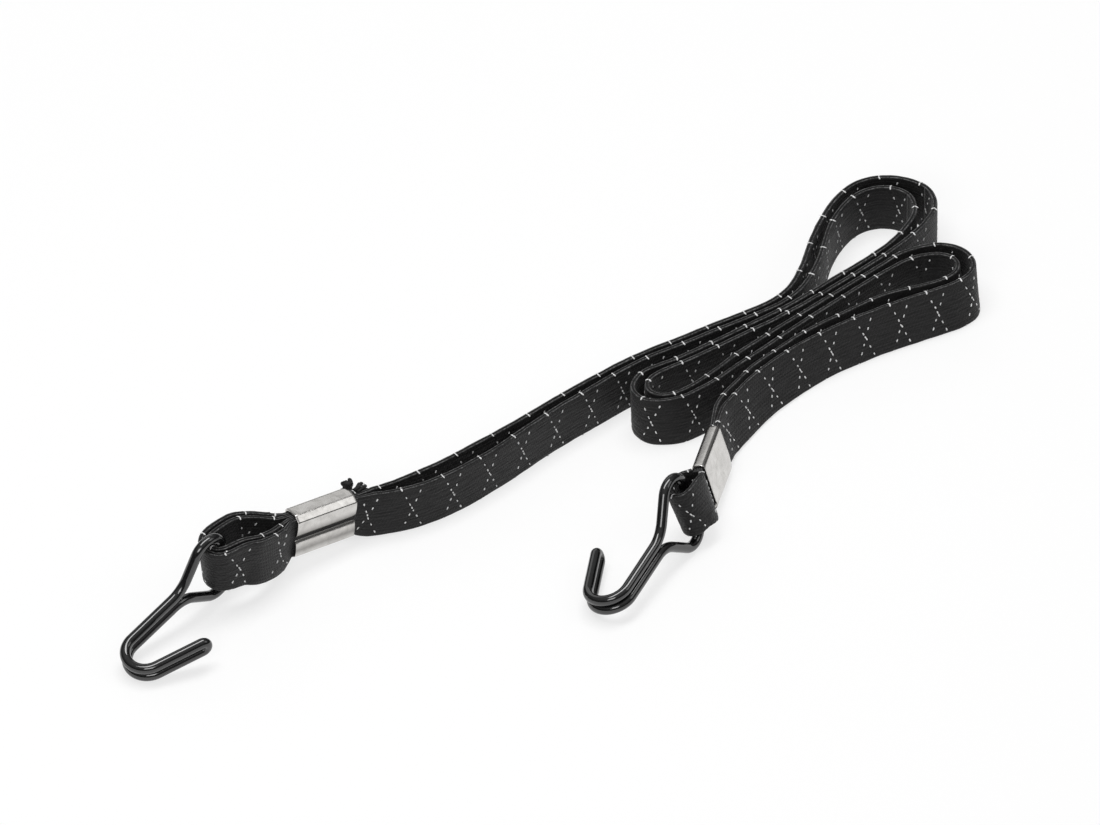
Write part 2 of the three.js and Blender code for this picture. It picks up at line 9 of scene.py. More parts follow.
import bpy
import numpy as np
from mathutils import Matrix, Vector


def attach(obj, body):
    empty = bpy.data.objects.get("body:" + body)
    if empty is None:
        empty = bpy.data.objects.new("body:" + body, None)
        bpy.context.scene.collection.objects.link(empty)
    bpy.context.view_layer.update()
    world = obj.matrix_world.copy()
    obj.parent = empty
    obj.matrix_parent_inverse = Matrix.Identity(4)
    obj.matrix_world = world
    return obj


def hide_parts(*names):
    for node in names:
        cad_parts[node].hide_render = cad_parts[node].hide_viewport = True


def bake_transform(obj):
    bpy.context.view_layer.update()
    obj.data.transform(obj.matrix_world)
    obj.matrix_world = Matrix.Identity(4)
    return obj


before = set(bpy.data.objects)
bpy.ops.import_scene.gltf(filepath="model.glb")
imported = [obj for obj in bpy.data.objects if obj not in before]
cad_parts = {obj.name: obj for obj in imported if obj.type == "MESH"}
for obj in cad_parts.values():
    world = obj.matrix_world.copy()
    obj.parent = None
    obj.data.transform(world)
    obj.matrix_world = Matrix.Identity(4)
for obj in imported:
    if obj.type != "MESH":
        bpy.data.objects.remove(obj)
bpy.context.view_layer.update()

# %% [markdown]
# ## The camera
# The picture was taken with a long lens from the front left, well above the table. A long lens shows
# nearly no perspective, so the camera stands far off and its lens is chosen to make the picture as wide
# as the part of the table that it shows. The shift and the depth of field stay off.

# %% Camera
VIEW_AZIMUTH = math.radians(-39)
VIEW_ELEVATION = math.radians(41)
VIEW_DISTANCE = 10.0
VIEW_TARGET = (0.01538, 0.03789, 0.0)
VIEW_WIDTH = 0.3216
SENSOR_WIDTH = 36.0


def add_object(name, data):
    made = bpy.data.objects.new(name, data)
    bpy.context.scene.collection.objects.link(made)
    return made


def make_camera():
    data = bpy.data.cameras.new("camera")
    data.sensor_width = SENSOR_WIDTH
    data.lens = SENSOR_WIDTH * VIEW_DISTANCE / VIEW_WIDTH
    camera = add_object("camera", data)
    flat = VIEW_DISTANCE * math.cos(VIEW_ELEVATION)
    camera.location = (
        VIEW_TARGET[0] + flat * math.sin(VIEW_AZIMUTH),
        VIEW_TARGET[1] - flat * math.cos(VIEW_AZIMUTH),
        VIEW_TARGET[2] + VIEW_DISTANCE * math.sin(VIEW_ELEVATION),
    )
    camera.rotation_euler = (math.pi / 2 - VIEW_ELEVATION, 0, VIEW_AZIMUTH)
    bpy.context.scene.camera = camera
    return camera


camera = make_camera()
print("camera with a lens of", round(camera.data.lens), "mm at", [round(x, 3) for x in camera.location])

# %% [markdown]
# ## Where the band lies
# The band's route is the heart of this object. Its points were chosen over the photograph when
# the CAD was made, and they are repeated here: x and y at mid-width, the lean towards +Y in degrees and,
# near the hooks, the height of the lower edge, in millimetres from the middle of the layout. A smooth
# curve through them gives the centreline of each ply, so the detailed runs and folds lie where the solids
# do. Only the loops at the hooks differ from the solids, by up to about 3 millimetres, because soft band
# sags there.

# %% Route points of the two plies
MM = 0.001
LAYOUT_MIDDLE = np.array([11.839, 30.728, 0.0])

FIRST_LEFT_RUN = [
    (-72, -2.9, 0, 0.9), (-65, -5.8, 0, 0.4), (-57, -8.2, 0, 0.2), (-46, -9.5, 0, 0.05), (-31, -9.2, 0),
    (-18, -7.8, 0), (-4, -6.4, 0),
]
FIRST_FOLDS = [
    (8, -5.9, 0), (20, -5.4, 0), (30, -5.7, 0), (42, -7.4, 0), (54, -8.9, 0), (66, -10.6, 0),
    (75, -11.3, 0), (82, -10.6, 0), (88.8, -8, 0), (98, -2.2, 0), (108.2, 6, 0), (115.2, 10, 0),
    (122.5, 12.3, 0), (128, 11.9, 0), (132, 9.8, 0), (134.6, 6.6, 0), (135.5, 2.6, 0), (134, -1.8, 0),
    (131, -5.2, 0), (123.5, -8.8, 0), (117, -10.7, 0), (108, -11.9, 0), (97, -12.5, 0), (85, -13.3, 0),
    (75, -13.6, 0), (60, -12.9, 0), (41, -11.9, 0), (31, -10.6, 0), (25.5, -9.8, 0), (20.8, -11.2, 1),
    (17.8, -14, 3), (16.9, -17.6, 4), (17.8, -21, 5), (20.8, -24, 7), (25.8, -26.4, 8), (32.6, -27.1, 8),
    (40.3, -26.9, 8), (48.7, -25.8, 8), (60, -24.6, 7), (70, -23.3, 6), (80, -22.1, 4), (90, -21.3, 4),
    (100, -20.6, 4), (110, -20.2, 4), (116, -20.3, 4), (120.5, -21.3, 4), (125.1, -23.8, 4),
    (127.3, -27, 4), (127, -30.9, 6), (124.2, -33.7, 8), (119.5, -34.3, 10), (114, -33, 10),
]
FIRST_RIGHT_RUN = [
    (107, -30.5, 10), (100, -28.6, 10), (87, -27.6, 10), (78, -27.1, 10), (71.6, -27.1, 11),
    (65, -28, 14), (58, -28.9, 16), (51, -30.1, 17, 0.1), (44, -32.2, 18, 0.15), (38, -34.3, 19, 0.25),
    (33, -36.7, 19, 0.4),
]
SECOND_LEFT_RUN = [
    (-71, -1.1, 0, 0.9), (-64, -2.3, 0, 0.4), (-56, -3.2, 0, 0.2), (-46, -4, 0, 0.05), (-31, -4, 0),
    (-16, -3.8, 0), (-4, -3.1, 0),
]
SECOND_FOLDS = [
    (8, -2.8, 0), (20, -2.7, 0), (31, -3.4, 0), (42, -5, 0), (54, -6.5, 0), (66, -8.2, 0),
    (74, -8.9, 0), (81.5, -7.6, 0), (89.8, -3.1, 0), (100.4, 4.9, 0), (108.5, 10.2, 0), (117.6, 14.7, 0),
    (126.3, 16.5, 0), (132.2, 15, 0), (136.8, 11.8, 0), (140.3, 7, 0), (141.6, 2.1, 0), (140.4, -2.9, 0),
    (137.4, -6.9, 0), (130.7, -10.2, 0), (124.2, -12, 0), (119, -13, 0), (111, -14, 0), (100, -14.9, 0),
    (85, -15.7, 0), (75, -15.9, 0), (60, -15.4, 0), (41, -14.3, 0), (33, -13.4, 0), (27, -13, 0),
    (23, -14.3, 1), (21, -17.2, 3), (21.6, -20.8, 4), (24.8, -23.4, 6), (31, -24.3, 6), (39.5, -23.6, 6),
    (49.8, -21.9, 6), (60, -20.9, 6), (70, -20, 5), (80, -19.2, 4), (90, -18.5, 4), (100, -17.9, 4),
    (110, -17.2, 4), (117, -16.8, 4), (123, -18.1, 4), (128.2, -20.8, 4), (130.9, -24, 4),
    (132.2, -28.4, 4), (130.8, -33.8, 7), (127.3, -37, 10), (121.5, -37.7, 10), (115, -36.6, 10),
]
SECOND_RIGHT_RUN = [
    (108, -35, 10), (99, -33.1, 10), (87, -31.3, 10), (76, -30.5, 10), (65, -30.8, 14),
    (51, -32.9, 18, 0.1), (40, -36.4, 19, 0.2), (33.5, -39, 20, 0.4),
]
print("route points:", len(FIRST_LEFT_RUN + FIRST_FOLDS + FIRST_RIGHT_RUN), "and",
      len(SECOND_LEFT_RUN + SECOND_FOLDS + SECOND_RIGHT_RUN))

# %% [markdown]
# ## Sizes
# All sizes are in millimetres. The two ends of the strap are alike but lie differently, so each has its
# own row of values: where its ferrule and its crossbar are, and how the hook is turned. Slack moves a
# loop off its crossbar, slip moves it down the crossbar, upright turns it from the crossbar towards the
# ferrule, and sag lowers its middle. The bellies give a loop's half-width at shares of its length.

# %% Sizes of the band, the ferrules and the hooks
BAND_WIDTH = 16.0
BAND_THICKNESS = 1.5
FERRULE_LENGTH = 21.0
FERRULE_HEIGHT = 15.4
FERRULE_WALL = 0.7
CRIMPED_PLY = 1.15
PLY_CLEARANCE = 0.2
PLY_PITCH = CRIMPED_PLY + PLY_CLEARANCE
CRIMPED_WIDTH = FERRULE_HEIGHT - 2 * (FERRULE_WALL + PLY_CLEARANCE)
FERRULE_LEAD = 1.2
SEAM_GAP = 0.3
CUT_END_LENGTHS = (4.0, 1.2)
CUT_END_SPREAD = 0.3
WIRE_DIAMETER = 2.2
COATED_DIAMETER = 3.2
WIRE_SPACING = 3.5
ARM_CLEARANCE = 2.4
YOKE_HALF = BAND_WIDTH / 2 + ARM_CLEARANCE + COATED_DIAMETER / 2
STUB_INSET = 3.5
STUB_END = BAND_WIDTH / 2 - STUB_INSET
ARCH_RADIUS = 5.5
YOKE_ANGLE = math.radians(46)
YOKE_BEND_RADIUS = 10.0
HOOK_REACH = 45.2
HOOK_BEND_RADIUS = 6.4
HOOK_TURN = math.radians(160)
TIP_LENGTH = 14.4
LOOP_CLEARANCE = 1.1
LOOP_INNER_RADIUS = COATED_DIAMETER / 2 + LOOP_CLEARANCE + BAND_THICKNESS / 2
LOOP_PLY_PITCH = BAND_THICKNESS + 2 * SEAM_GAP

LEFT_END = {
    "inner": (-77, 0.6), "outer": (-96, 1.9), "lifts": (1.9, 3.9), "lean": (0, 0),
    "crossbar": (-121.6, 2.8), "slack": 1.1, "slip": 0.0, "upright": 0.35, "sag": 1.5,
    "heading": -174.6, "droop": 16.7, "roll": -3.7, "hand": 1,
}
RIGHT_END = {
    "inner": (26.5, -43.2), "outer": (11.2, -55.4), "lifts": (0.5, 2.55), "lean": (-0.2, 0.25),
    "crossbar": (0.8, -61), "slack": 2.2, "slip": 0.8, "upright": 0.0, "sag": 0.3,
    "heading": -156.6, "droop": 8.6, "roll": 16.9, "hand": -1,
}
LEFT_BELLY_BACK = [(0.2, 3.8), (0.4, 5.9), (0.64, 6.8), (0.82, 6.4)]
LEFT_BELLY_FRONT = [(0.2, 3.7), (0.4, 5.4), (0.64, 6.5), (0.82, 6)]
RIGHT_BELLY_BACK = [(0.22, 1.9), (0.55, 4.2)]
RIGHT_BELLY_FRONT = [(0.22, 1.8), (0.5, 3.6), (0.8, 4.0)]
LOOP_ARC = [75, 40, 0, -40, -75]
SAG_SHAPE = 27 / 4
print("crimped band", round(CRIMPED_WIDTH, 2), "by", CRIMPED_PLY, "mm; yoke half-width", YOKE_HALF, "mm")

# %% [markdown]
# ## From route points to a smooth line
# Each route point has a place, the way the band's width points there and how far it is crimped, from 0 on
# the table to 1 inside a ferrule. A centripetal curve through the places never overshoots in tight folds,
# which a plain Bezier curve with automatic handles would. Stations are set closer together where the band
# turns, and each one carries three axes: tangent, side and up.


# %% Route point helpers
def unit(vector):
    return vector / np.linalg.norm(vector)


def table_point(x, y, lean, lift=0.0):
    angle = math.radians(lean)
    height = lift + BAND_WIDTH / 2 * math.cos(angle) + BAND_THICKNESS / 2 * math.sin(angle)
    return np.array([x, y, height]), np.array([0, math.sin(angle), math.cos(angle)]), 0.0


def ferrule_axes(end):
    """The start, tangent, side and up axes of a ferrule, from its inner end to its outer end."""
    upwards = unit(np.array([*end["lean"], 1.0]))
    middle = BAND_WIDTH / 2 * upwards[2]
    inner = np.array([*end["inner"], end["lifts"][0] + middle])
    outer = np.array([*end["outer"], end["lifts"][1] + middle])
    tangent = unit(outer - inner)
    up = unit(upwards - upwards.dot(tangent) * tangent)
    return inner, tangent, np.cross(up, tangent), up


def ferrule_points(end, across, run_lead):
    inner, tangent, side, up = ferrule_axes(end)
    places = (-run_lead, FERRULE_LEAD, FERRULE_LENGTH - FERRULE_LEAD, FERRULE_LENGTH + FERRULE_LEAD)
    return [(inner + along * tangent + across * side, up, 1.0) for along in places]


# %% Smooth line through the route points
STATION_TURN = math.radians(6)
STATION_LENGTH = 1.5


def smooth_place(near, far, leave, arrive, share):
    """A point between two places, for the speeds at which a curve leaves one and reaches the other."""
    square, cube = share**2, share**3
    return (near * (2 * cube - 3 * square + 1) + far * (3 * square - 2 * cube)
            + leave * (cube - 2 * square + share) + arrive * (cube - square))


def spline_at(points, span, share):
    """A point of the centripetal curve at a share of one span, and the curve's direction there."""
    before = points[span - 1] if span > 0 else 2 * points[0] - points[1]
    after = points[span + 2] if span + 2 < len(points) else 2 * points[-1] - points[-2]
    near, far = points[span], points[span + 1]
    gaps = [math.sqrt(np.linalg.norm(b - a)) for a, b in ((before, near), (near, far), (far, after))]
    leave = (near - before) / gaps[0] - (far - before) / (gaps[0] + gaps[1]) + (far - near) / gaps[1]
    arrive = (far - near) / gaps[1] - (after - near) / (gaps[1] + gaps[2]) + (after - far) / gaps[2]
    leave, arrive = leave * gaps[1], arrive * gaps[1]
    square = share**2
    direction = ((far - near) * 6 * (share - square)
                 + leave * (3 * square - 4 * share + 1) + arrive * (3 * square - 2 * share))
    return smooth_place(near, far, leave, arrive, share), unit(direction)


def band_line(route, first, last):
    """Stations along a route from one of its points to another, as arrays."""
    points = [place for place, _, _ in route]
    rows = []
    for span in range(first, last):
        (start, leaving), (finish, arriving) = (spline_at(points, span, share) for share in (0, 1))
        turn = math.acos(np.clip(leaving.dot(arriving), -1, 1))
        length = np.linalg.norm(finish - start)
        steps = max(math.ceil(turn / STATION_TURN), math.ceil(length / STATION_LENGTH))
        for k in range(steps + (span + 1 == last)):
            share = k / steps
            up = (1 - share) * route[span][1] + share * route[span + 1][1]
            crimp = (1 - share) * route[span][2] + share * route[span + 1][2]
            rows.append((*spline_at(points, span, share), up, crimp))
    places, tangents, ups, crimps = (np.array([row[k] for row in rows]) for k in range(4))
    ups = ups - (ups * tangents).sum(axis=1, keepdims=True) * tangents
    ups /= np.linalg.norm(ups, axis=1, keepdims=True)
    steps = np.linalg.norm(np.diff(places, axis=0), axis=1)
    return {
        "place": places, "tangent": tangents, "up": ups, "side": np.cross(ups, tangents),
        "width": BAND_WIDTH + (CRIMPED_WIDTH - BAND_WIDTH) * crimps,
        "thickness": BAND_THICKNESS + (CRIMPED_PLY - BAND_THICKNESS) * crimps,
        "along": np.concatenate([[0], np.cumsum(steps)]),
    }


# %% [markdown]
# ## Lines of the two plies
# Either hook end can be pulled away from the folded middle, so each ply is made as three pieces: one from
# the left ferrule to the first fold, one through the folds, and one from the last fold to the right
# ferrule. They meet where the band stands still.

# %% Lines of the plies
FIRST_TURN_POINT = 16
LAST_FOLD_POINTS = 7


def ply_lines(left_across, right_across, left_run, folds, right_run):
    left = ferrule_points(LEFT_END, left_across, FERRULE_LEAD)[1::-1]
    right = ferrule_points(RIGHT_END, right_across, FERRULE_LEAD)[:2]
    route = left + [table_point(*row) for row in left_run + folds + right_run] + right
    start = len(left) + len(left_run)
    splits = (0, start + FIRST_TURN_POINT, start + len(folds) - LAST_FOLD_POINTS, len(route) - 1)
    lines = [band_line(route, a, b) for a, b in zip(splits, splits[1:])]
    for before, line in zip(lines, lines[1:]):
        line["along"] += before["along"][-1]
    return lines


first_ply = ply_lines(1.5 * PLY_PITCH, -PLY_PITCH / 2, FIRST_LEFT_RUN, FIRST_FOLDS, FIRST_RIGHT_RUN)
second_ply = ply_lines(PLY_PITCH / 2, PLY_PITCH / 2, SECOND_LEFT_RUN, SECOND_FOLDS, SECOND_RIGHT_RUN)
for title, lines in (("first ply", first_ply), ("second ply", second_ply)):
    print(title, "pieces end at", [round(line["along"][-1], 1) for line in lines], "mm along")

# %% [markdown]
# ## The hooks' wire
# Each hook is one length of wire bent like a hairpin: its two ends turn in towards each other through the
# band's loop, the arms close to a double shank, and the shank turns back on itself to a rounded tip. The
# path is drawn once in the hook's own axes, x along the shank and z along the crossbar, and then turned
# to where the hook lies.

# %% Path of a hook
WIRE_TURN = math.radians(6)


def round_corners(corners, radii):
    points = [corners[0]]
    for corner, before, after, radius in zip(corners[1:-1], corners, corners[2:], radii):
        back, ahead = unit(before - corner), unit(after - corner)
        half = math.acos(np.clip(back.dot(ahead), -1, 1)) / 2
        centre = corner + unit(back + ahead) * radius / math.sin(half)
        start = corner + back * radius / math.tan(half) - centre
        finish = corner + ahead * radius / math.tan(half) - centre
        turn = math.pi - 2 * half
        steps = math.ceil(turn / WIRE_TURN)
        for k in range(steps + 1):
            angle = turn * k / steps
            mixed = math.sin(turn - angle) * start + math.sin(angle) * finish
            points.append(centre + mixed / math.sin(turn))
    return points + [corners[-1]]


def hook_half(side, hand):
    height = side * WIRE_SPACING / 2
    shank_end = HOOK_REACH - HOOK_BEND_RADIUS
    arch_corner = YOKE_HALF - ARCH_RADIUS + ARCH_RADIUS * math.tan((math.pi / 2 + YOKE_ANGLE) / 2)
    joint = (arch_corner - WIRE_SPACING / 2) / math.tan(YOKE_ANGLE)
    corners = [(0, 0, side * STUB_END), (0, 0, side * arch_corner),
               (joint, 0, height), (shank_end, 0, height)]
    head = round_corners([np.array(c, float) for c in corners], (ARCH_RADIUS, YOKE_BEND_RADIUS))[:-1]
    steps = math.ceil(HOOK_TURN / WIRE_TURN)
    angles = [HOOK_TURN * k / steps for k in range(steps + 1)]
    bend = [np.array([shank_end + HOOK_BEND_RADIUS * math.sin(a),
                      hand * HOOK_BEND_RADIUS * (1 - math.cos(a)), height]) for a in angles]
    return head + bend


def hook_path(hand):
    upper, lower = hook_half(1, hand), hook_half(-1, hand)
    tip = np.array([math.cos(HOOK_TURN), hand * math.sin(HOOK_TURN), 0])
    middle = upper[-1] * (1, 1, 0) + TIP_LENGTH * tip
    steps = math.ceil(math.pi / WIRE_TURN)
    angles = [math.pi * k / steps for k in range(steps + 1)]
    radius = WIRE_SPACING / 2
    hairpin = [middle + radius * math.sin(a) * tip + np.array([0, 0, radius * math.cos(a)]) for a in angles]
    return np.array(upper + hairpin + lower[::-1])


def turn_about(axis, angle):
    """The matrix of a turn about one of the three axes."""
    turned = np.eye(3)
    after, last = (axis + 1) % 3, (axis + 2) % 3
    turned[after, after] = turned[last, last] = math.cos(angle)
    turned[last, after] = math.sin(angle)
    turned[after, last] = -math.sin(angle)
    return turned


def hook_place(end):
    """The crossbar's middle, the hook's turned axes and the wire's path."""
    roll, droop, heading = (math.radians(end[key]) for key in ("roll", "droop", "heading"))
    turned = turn_about(2, heading) @ turn_about(1, droop) @ turn_about(0, roll)
    path = hook_path(end["hand"]) @ turned.T
    centre = np.array([*end["crossbar"], COATED_DIAMETER / 2 - path[:, 2].min()])
    return centre, turned, path + centre


for title, end in (("left", LEFT_END), ("right", RIGHT_END)):
    centre, turned, path = hook_place(end)
    print(title, "crossbar at", (centre + LAYOUT_MIDDLE).round(3), "along", turned[:, 2].round(4))

# %% [markdown]
# ## The loops round the crossbars
# On the right the band makes one loop. On the left it makes two, one inside the other, because both plies
# go round the hook there and come back into the ferrule, where their cut ends stick out on the far side.
# The sides of a loop swell out from the ferrule and leave room for the hook to swing. The sag is greatest
# a third of the way from the ferrule to the crossbar.


# %% Lines of the loops
def loop_points(end, start, finish, layer):
    inner, tangent, _, up = ferrule_axes(end)
    centre, turned, _ = hook_place(end)
    crossbar = turned[:, 2]
    mouth = inner + FERRULE_LENGTH * tangent
    loop_centre = centre + end["slack"] * turned[:, 0] - end["slip"] * crossbar
    loop_up = unit((1 - end["upright"]) * crossbar + end["upright"] * up)
    along = loop_centre - mouth
    across = unit(np.cross(loop_up, along))
    ahead = np.cross(across, loop_up)
    radius = LOOP_INNER_RADIUS + layer * LOOP_PLY_PITCH

    def belly(sign, share, half):
        length = np.linalg.norm(along)
        place = smooth_place(mouth, loop_centre, length * tangent, length * ahead, share)
        place = place + sign * half * across - end["sag"] * SAG_SHAPE * share * (1 - share) ** 2 * up
        return place, unit((1 - share**2) * up + share**2 * loop_up), 0.0

    bend = []
    for degrees in LOOP_ARC:
        angle = math.radians(degrees)
        place = loop_centre + radius * (math.cos(angle) * ahead - math.sin(angle) * across)
        bend.append((place, loop_up, 0.0))
    return [belly(-1, *row) for row in start] + bend + [belly(1, *row) for row in finish][::-1]


def left_loop_line(layer, run_across):
    run = ferrule_points(LEFT_END, run_across, FERRULE_LEAD - 2 * SEAM_GAP)
    returned = ferrule_points(LEFT_END, -run_across, FERRULE_LEAD)
    thinner = (1 - layer) * LOOP_PLY_PITCH
    back, front = ([(share, half - thinner) for share, half in rows]
                   for rows in (LEFT_BELLY_BACK, LEFT_BELLY_FRONT))
    inner, tangent, side, up = ferrule_axes(LEFT_END)
    out = -run_across * (1 + CUT_END_SPREAD * layer) - SEAM_GAP
    cut_end = (inner - CUT_END_LENGTHS[layer] * tangent + out * side, up, 0.0)
    route = [cut_end, *returned, *loop_points(LEFT_END, back, front, layer), *run[::-1]]
    return band_line(route, 0, len(route) - 1)


def right_loop_line():
    back, out = (ferrule_points(RIGHT_END, across, FERRULE_LEAD - 2 * SEAM_GAP)
                 for across in (-PLY_PITCH / 2, PLY_PITCH / 2))
    route = [*back, *loop_points(RIGHT_END, RIGHT_BELLY_BACK, RIGHT_BELLY_FRONT, 0), *out[::-1]]
    return band_line(route, 0, len(route) - 1)


left_outer = left_loop_line(1, 1.5 * PLY_PITCH)
left_inner = left_loop_line(0, 0.5 * PLY_PITCH)
right_single = right_loop_line()
print("loops", [round(line["along"][-1], 1) for line in (left_outer, left_inner, right_single)], "mm long")

# %% [markdown]
# ## Making meshes from rings
# Band, wire, coat and ferrule are all made the same way: a ring of points at each station, and faces
# between neighbouring rings. Writing the faces directly keeps every mesh closed and every point where it
# belongs, which a curve with a bevel object would not do for a section that changes along the way.


# %% Mesh helpers
def ring_faces(count, around, closed):
    rows = np.arange(count if closed else count - 1)[:, None]
    columns = np.arange(around)[None, :]
    near, far = rows * around, (rows + 1) % count * around
    after = (columns + 1) % around
    return np.stack([near + columns, near + after, far + after, far + columns], axis=-1).reshape(-1, 4)


def rings_at(line, sections):
    """Points of every section, from its side and up coordinates at each station."""
    return (
        line["place"][:, None, :]
        + sections[:, :, :1] * line["side"][:, None, :]
        + sections[:, :, 1:] * line["up"][:, None, :]
    )


def new_piece(name, vertices, faces, material, sharp=None):
    mesh = bpy.data.meshes.new(name)
    mesh.from_pydata(((np.asarray(vertices) + LAYOUT_MIDDLE) * MM).tolist(), [], faces)
    mesh.polygons.foreach_set("use_smooth", [True] * len(mesh.polygons))
    if sharp:
        mesh.set_sharp_from_angle(angle=math.radians(sharp))
    mesh.materials.append(material)
    mesh.validate()
    return add_object(name, mesh)


def end_caps(count, around):
    return [tuple(range(around))[::-1], tuple(range((count - 1) * around, count * around))]


def solid_piece(name, rings, material, sharp=None):
    count, around, _ = rings.shape
    faces = ring_faces(count, around, False).tolist() + end_caps(count, around)
    return new_piece(name, rings.reshape(-1, 3), faces, material, sharp)


def sleeve_piece(name, outer, inner, material, sharp=None):
    rings = np.concatenate([outer, inner[::-1]])
    faces = ring_faces(len(rings), rings.shape[1], True).tolist()
    return new_piece(name, rings.reshape(-1, 3), faces, material, sharp)


def tubes_piece(name, tubes, count, around, material):
    """One mesh of many small closed tubes, which all have the same number of rings."""
    size = count * around
    one = ring_faces(count, around, False).tolist() + end_caps(count, around)
    faces = [tuple(k * size + i for i in face) for k in range(len(tubes)) for face in one]
    return new_piece(name, np.array(tubes).reshape(-1, 3), faces, material)


# %% [markdown]
# ## Finishes
# Five finishes make this object: black ribbed weave, white tracer yarn, satin nickel, glossy dipped
# plastic and bare steel. Each is a Principled shader with procedural nodes for what changes over the
# surface. Values that are the same all over sit on the shader's own sockets.


# %% Material helpers
def new_material(name, **values):
    material = bpy.data.materials.new(name)
    material.use_nodes = True
    shader = material.node_tree.nodes["Principled BSDF"]
    for socket, value in values.items():
        shader.inputs[socket.replace("_", " ")].default_value = value
    return material, shader


def add_node(material, kind, settings=(), **inputs):
    node = material.node_tree.nodes.new("ShaderNode" + kind)
    for key, value in dict(settings).items():
        setattr(node, key, value)
    for key, value in inputs.items():
        socket = node.inputs[int(key[1:]) if key[0] == "i" and key[1:].isdigit() else key.replace("_", " ")]
        if isinstance(value, bpy.types.NodeSocket):
            material.node_tree.links.new(value, socket)
        else:
            socket.default_value = value
    return node


def ramp(material, factor, stops):
    node = add_node(material, "ValToRGB", Fac=factor)
    elements = node.color_ramp.elements
    while len(elements) < len(stops):
        elements.new(0.5)
    for element, (position, colour) in zip(elements, stops):
        element.position = position
        element.color = (*colour, 1) if isinstance(colour, tuple) else (colour, colour, colour, 1)
    return node.outputs["Color"]


def link(material, output, shader, socket):
    material.node_tree.links.new(output, shader.inputs[socket])


def calculate(material, operation, *values):
    inputs = {f"i{k}": value for k, value in enumerate(values)}
    return add_node(material, "Math", {"operation": operation}, **inputs).outputs[0]


def noise(material, vector, **values):
    return add_node(material, "TexNoise", Vector=vector, **values).outputs["Fac"]


def stretched_noise(material, vector, scale, **values):
    mapping = add_node(material, "Mapping", Vector=vector, Scale=scale)
    return noise(material, mapping.outputs[0], Scale=1.0, **values)


def mix_colours(material, share, first, second):
    return add_node(material, "Mix", {"data_type": "RGBA"}, i0=share, i6=first, i7=second).outputs[2]


def add_bump(material, shader, height, strength, distance):
    bump = add_node(material, "Bump", Strength=strength, Distance=distance, Height=height)
    link(material, bump.outputs["Normal"], shader, "Normal")


# %% [markdown]
# ### Black ribbed weave
# The band is woven with its warp yarns side by side, so its faces have fine lengthwise ribs. Along each
# rib the weft shows as a row of small stitches, half a step apart on neighbouring ribs. The pattern
# follows the band through every fold, so it is computed from where a point lies on the flat band: along,
# across and which face, in millimetres, kept on the mesh as an attribute.

# %% Weave finish
RIB_COUNT = 13
FACE_SHARE = 0.91
RIB_PITCH = BAND_WIDTH * FACE_SHARE / RIB_COUNT
STITCH_LENGTH = 1.1
STITCH_RELIEF = 0.16
FUZZ_RELIEF = 0.6
STREAK_SCALE = (0.3, 2.1, 3.0)
FUZZ_SCALE = (1.4, 6.0, 3.0)
STRAND_SCALE = (1.9, 1.2, 3.0)
EDGE_FROM = 7.4
EDGE_TO = 7.7
CREST_AT = 0.62
CREST_HALF = 0.3
FACE_TONES = [
    (0.34, (0.0026, 0.0025, 0.0026)), (0.5, (0.0068, 0.0065, 0.0067)),
    (0.6, (0.0105, 0.0101, 0.0103)), (0.72, (0.026, 0.0255, 0.0258)),
]
# Lighter tones painted on the crests of the edge beads as a highlight.
PAINTED_HIGHLIGHT_TONES = [(0.38, 0.012), (0.5, (0.07, 0.07, 0.071)), (0.62, 0.16)]
YARN_TONES = [(0.3, 0.62), (0.6, 0.88)]


def make_weave():
    material, shader = new_material("black_weave", Roughness=0.6, Sheen_Weight=0.13, Sheen_Roughness=0.4,
                                    Specular_IOR_Level=0.29)
    place = add_node(material, "Attribute", {"attribute_name": "band_place"}).outputs["Vector"]
    along, across, depth = add_node(material, "SeparateXYZ", Vector=place).outputs
    rib = calculate(material, "FLOOR", calculate(material, "DIVIDE", across, RIB_PITCH))
    step = calculate(material, "DIVIDE", along, STITCH_LENGTH)
    half_step = calculate(material, "MULTIPLY_ADD", rib, 0.5, step)
    stitch = calculate(material, "SINE", calculate(material, "MULTIPLY", half_step, 2 * math.pi))
    streak = stretched_noise(material, place, STREAK_SCALE, Detail=4.0, Roughness=0.7)
    fuzz = stretched_noise(material, place, FUZZ_SCALE, Detail=3.0)
    strand = stretched_noise(material, place, STRAND_SCALE, Detail=2.0)
    from_middle = calculate(material, "ABSOLUTE", across)
    on_edge = add_node(material, "MapRange", Value=from_middle, From_Min=EDGE_FROM, From_Max=EDGE_TO)
    from_crest = calculate(material, "SUBTRACT", calculate(material, "ABSOLUTE", depth), CREST_AT)
    off_crest = calculate(material, "ABSOLUTE", from_crest)
    on_crest = add_node(material, "MapRange", Value=off_crest, From_Min=CREST_HALF, From_Max=0.0)
    # Painted highlight: the crests of the selvedge beads at both edges get a lighter colour.
    painted_highlight = calculate(material, "MULTIPLY", on_edge.outputs[0], on_crest.outputs[0])
    face_tone = ramp(material, streak, FACE_TONES)
    painted_highlight_tone = ramp(material, strand, PAINTED_HIGHLIGHT_TONES)
    link(material, mix_colours(material, painted_highlight, face_tone, painted_highlight_tone), shader, "Base Color")
    relief = calculate(material, "MULTIPLY_ADD", stitch, STITCH_RELIEF, streak)
    surface = calculate(material, "MULTIPLY_ADD", fuzz, FUZZ_RELIEF, relief)
    add_bump(material, shader, surface, strength=0.6, distance=0.00026)
    return material


def make_tracer():
    material, shader = new_material("tracer_yarn", Roughness=0.45, Sheen_Weight=0.2)
    spot = add_node(material, "TexCoord").outputs["Object"]
    twist = noise(material, spot, Scale=2600.0, Detail=2.0)
    link(material, ramp(material, twist, YARN_TONES), shader, "Base Color")
    add_bump(material, shader, twist, strength=0.4, distance=0.0001)
    return material


weave = make_weave()
tracer_yarn = make_tracer()
print("made", weave.name, "and", tracer_yarn.name)
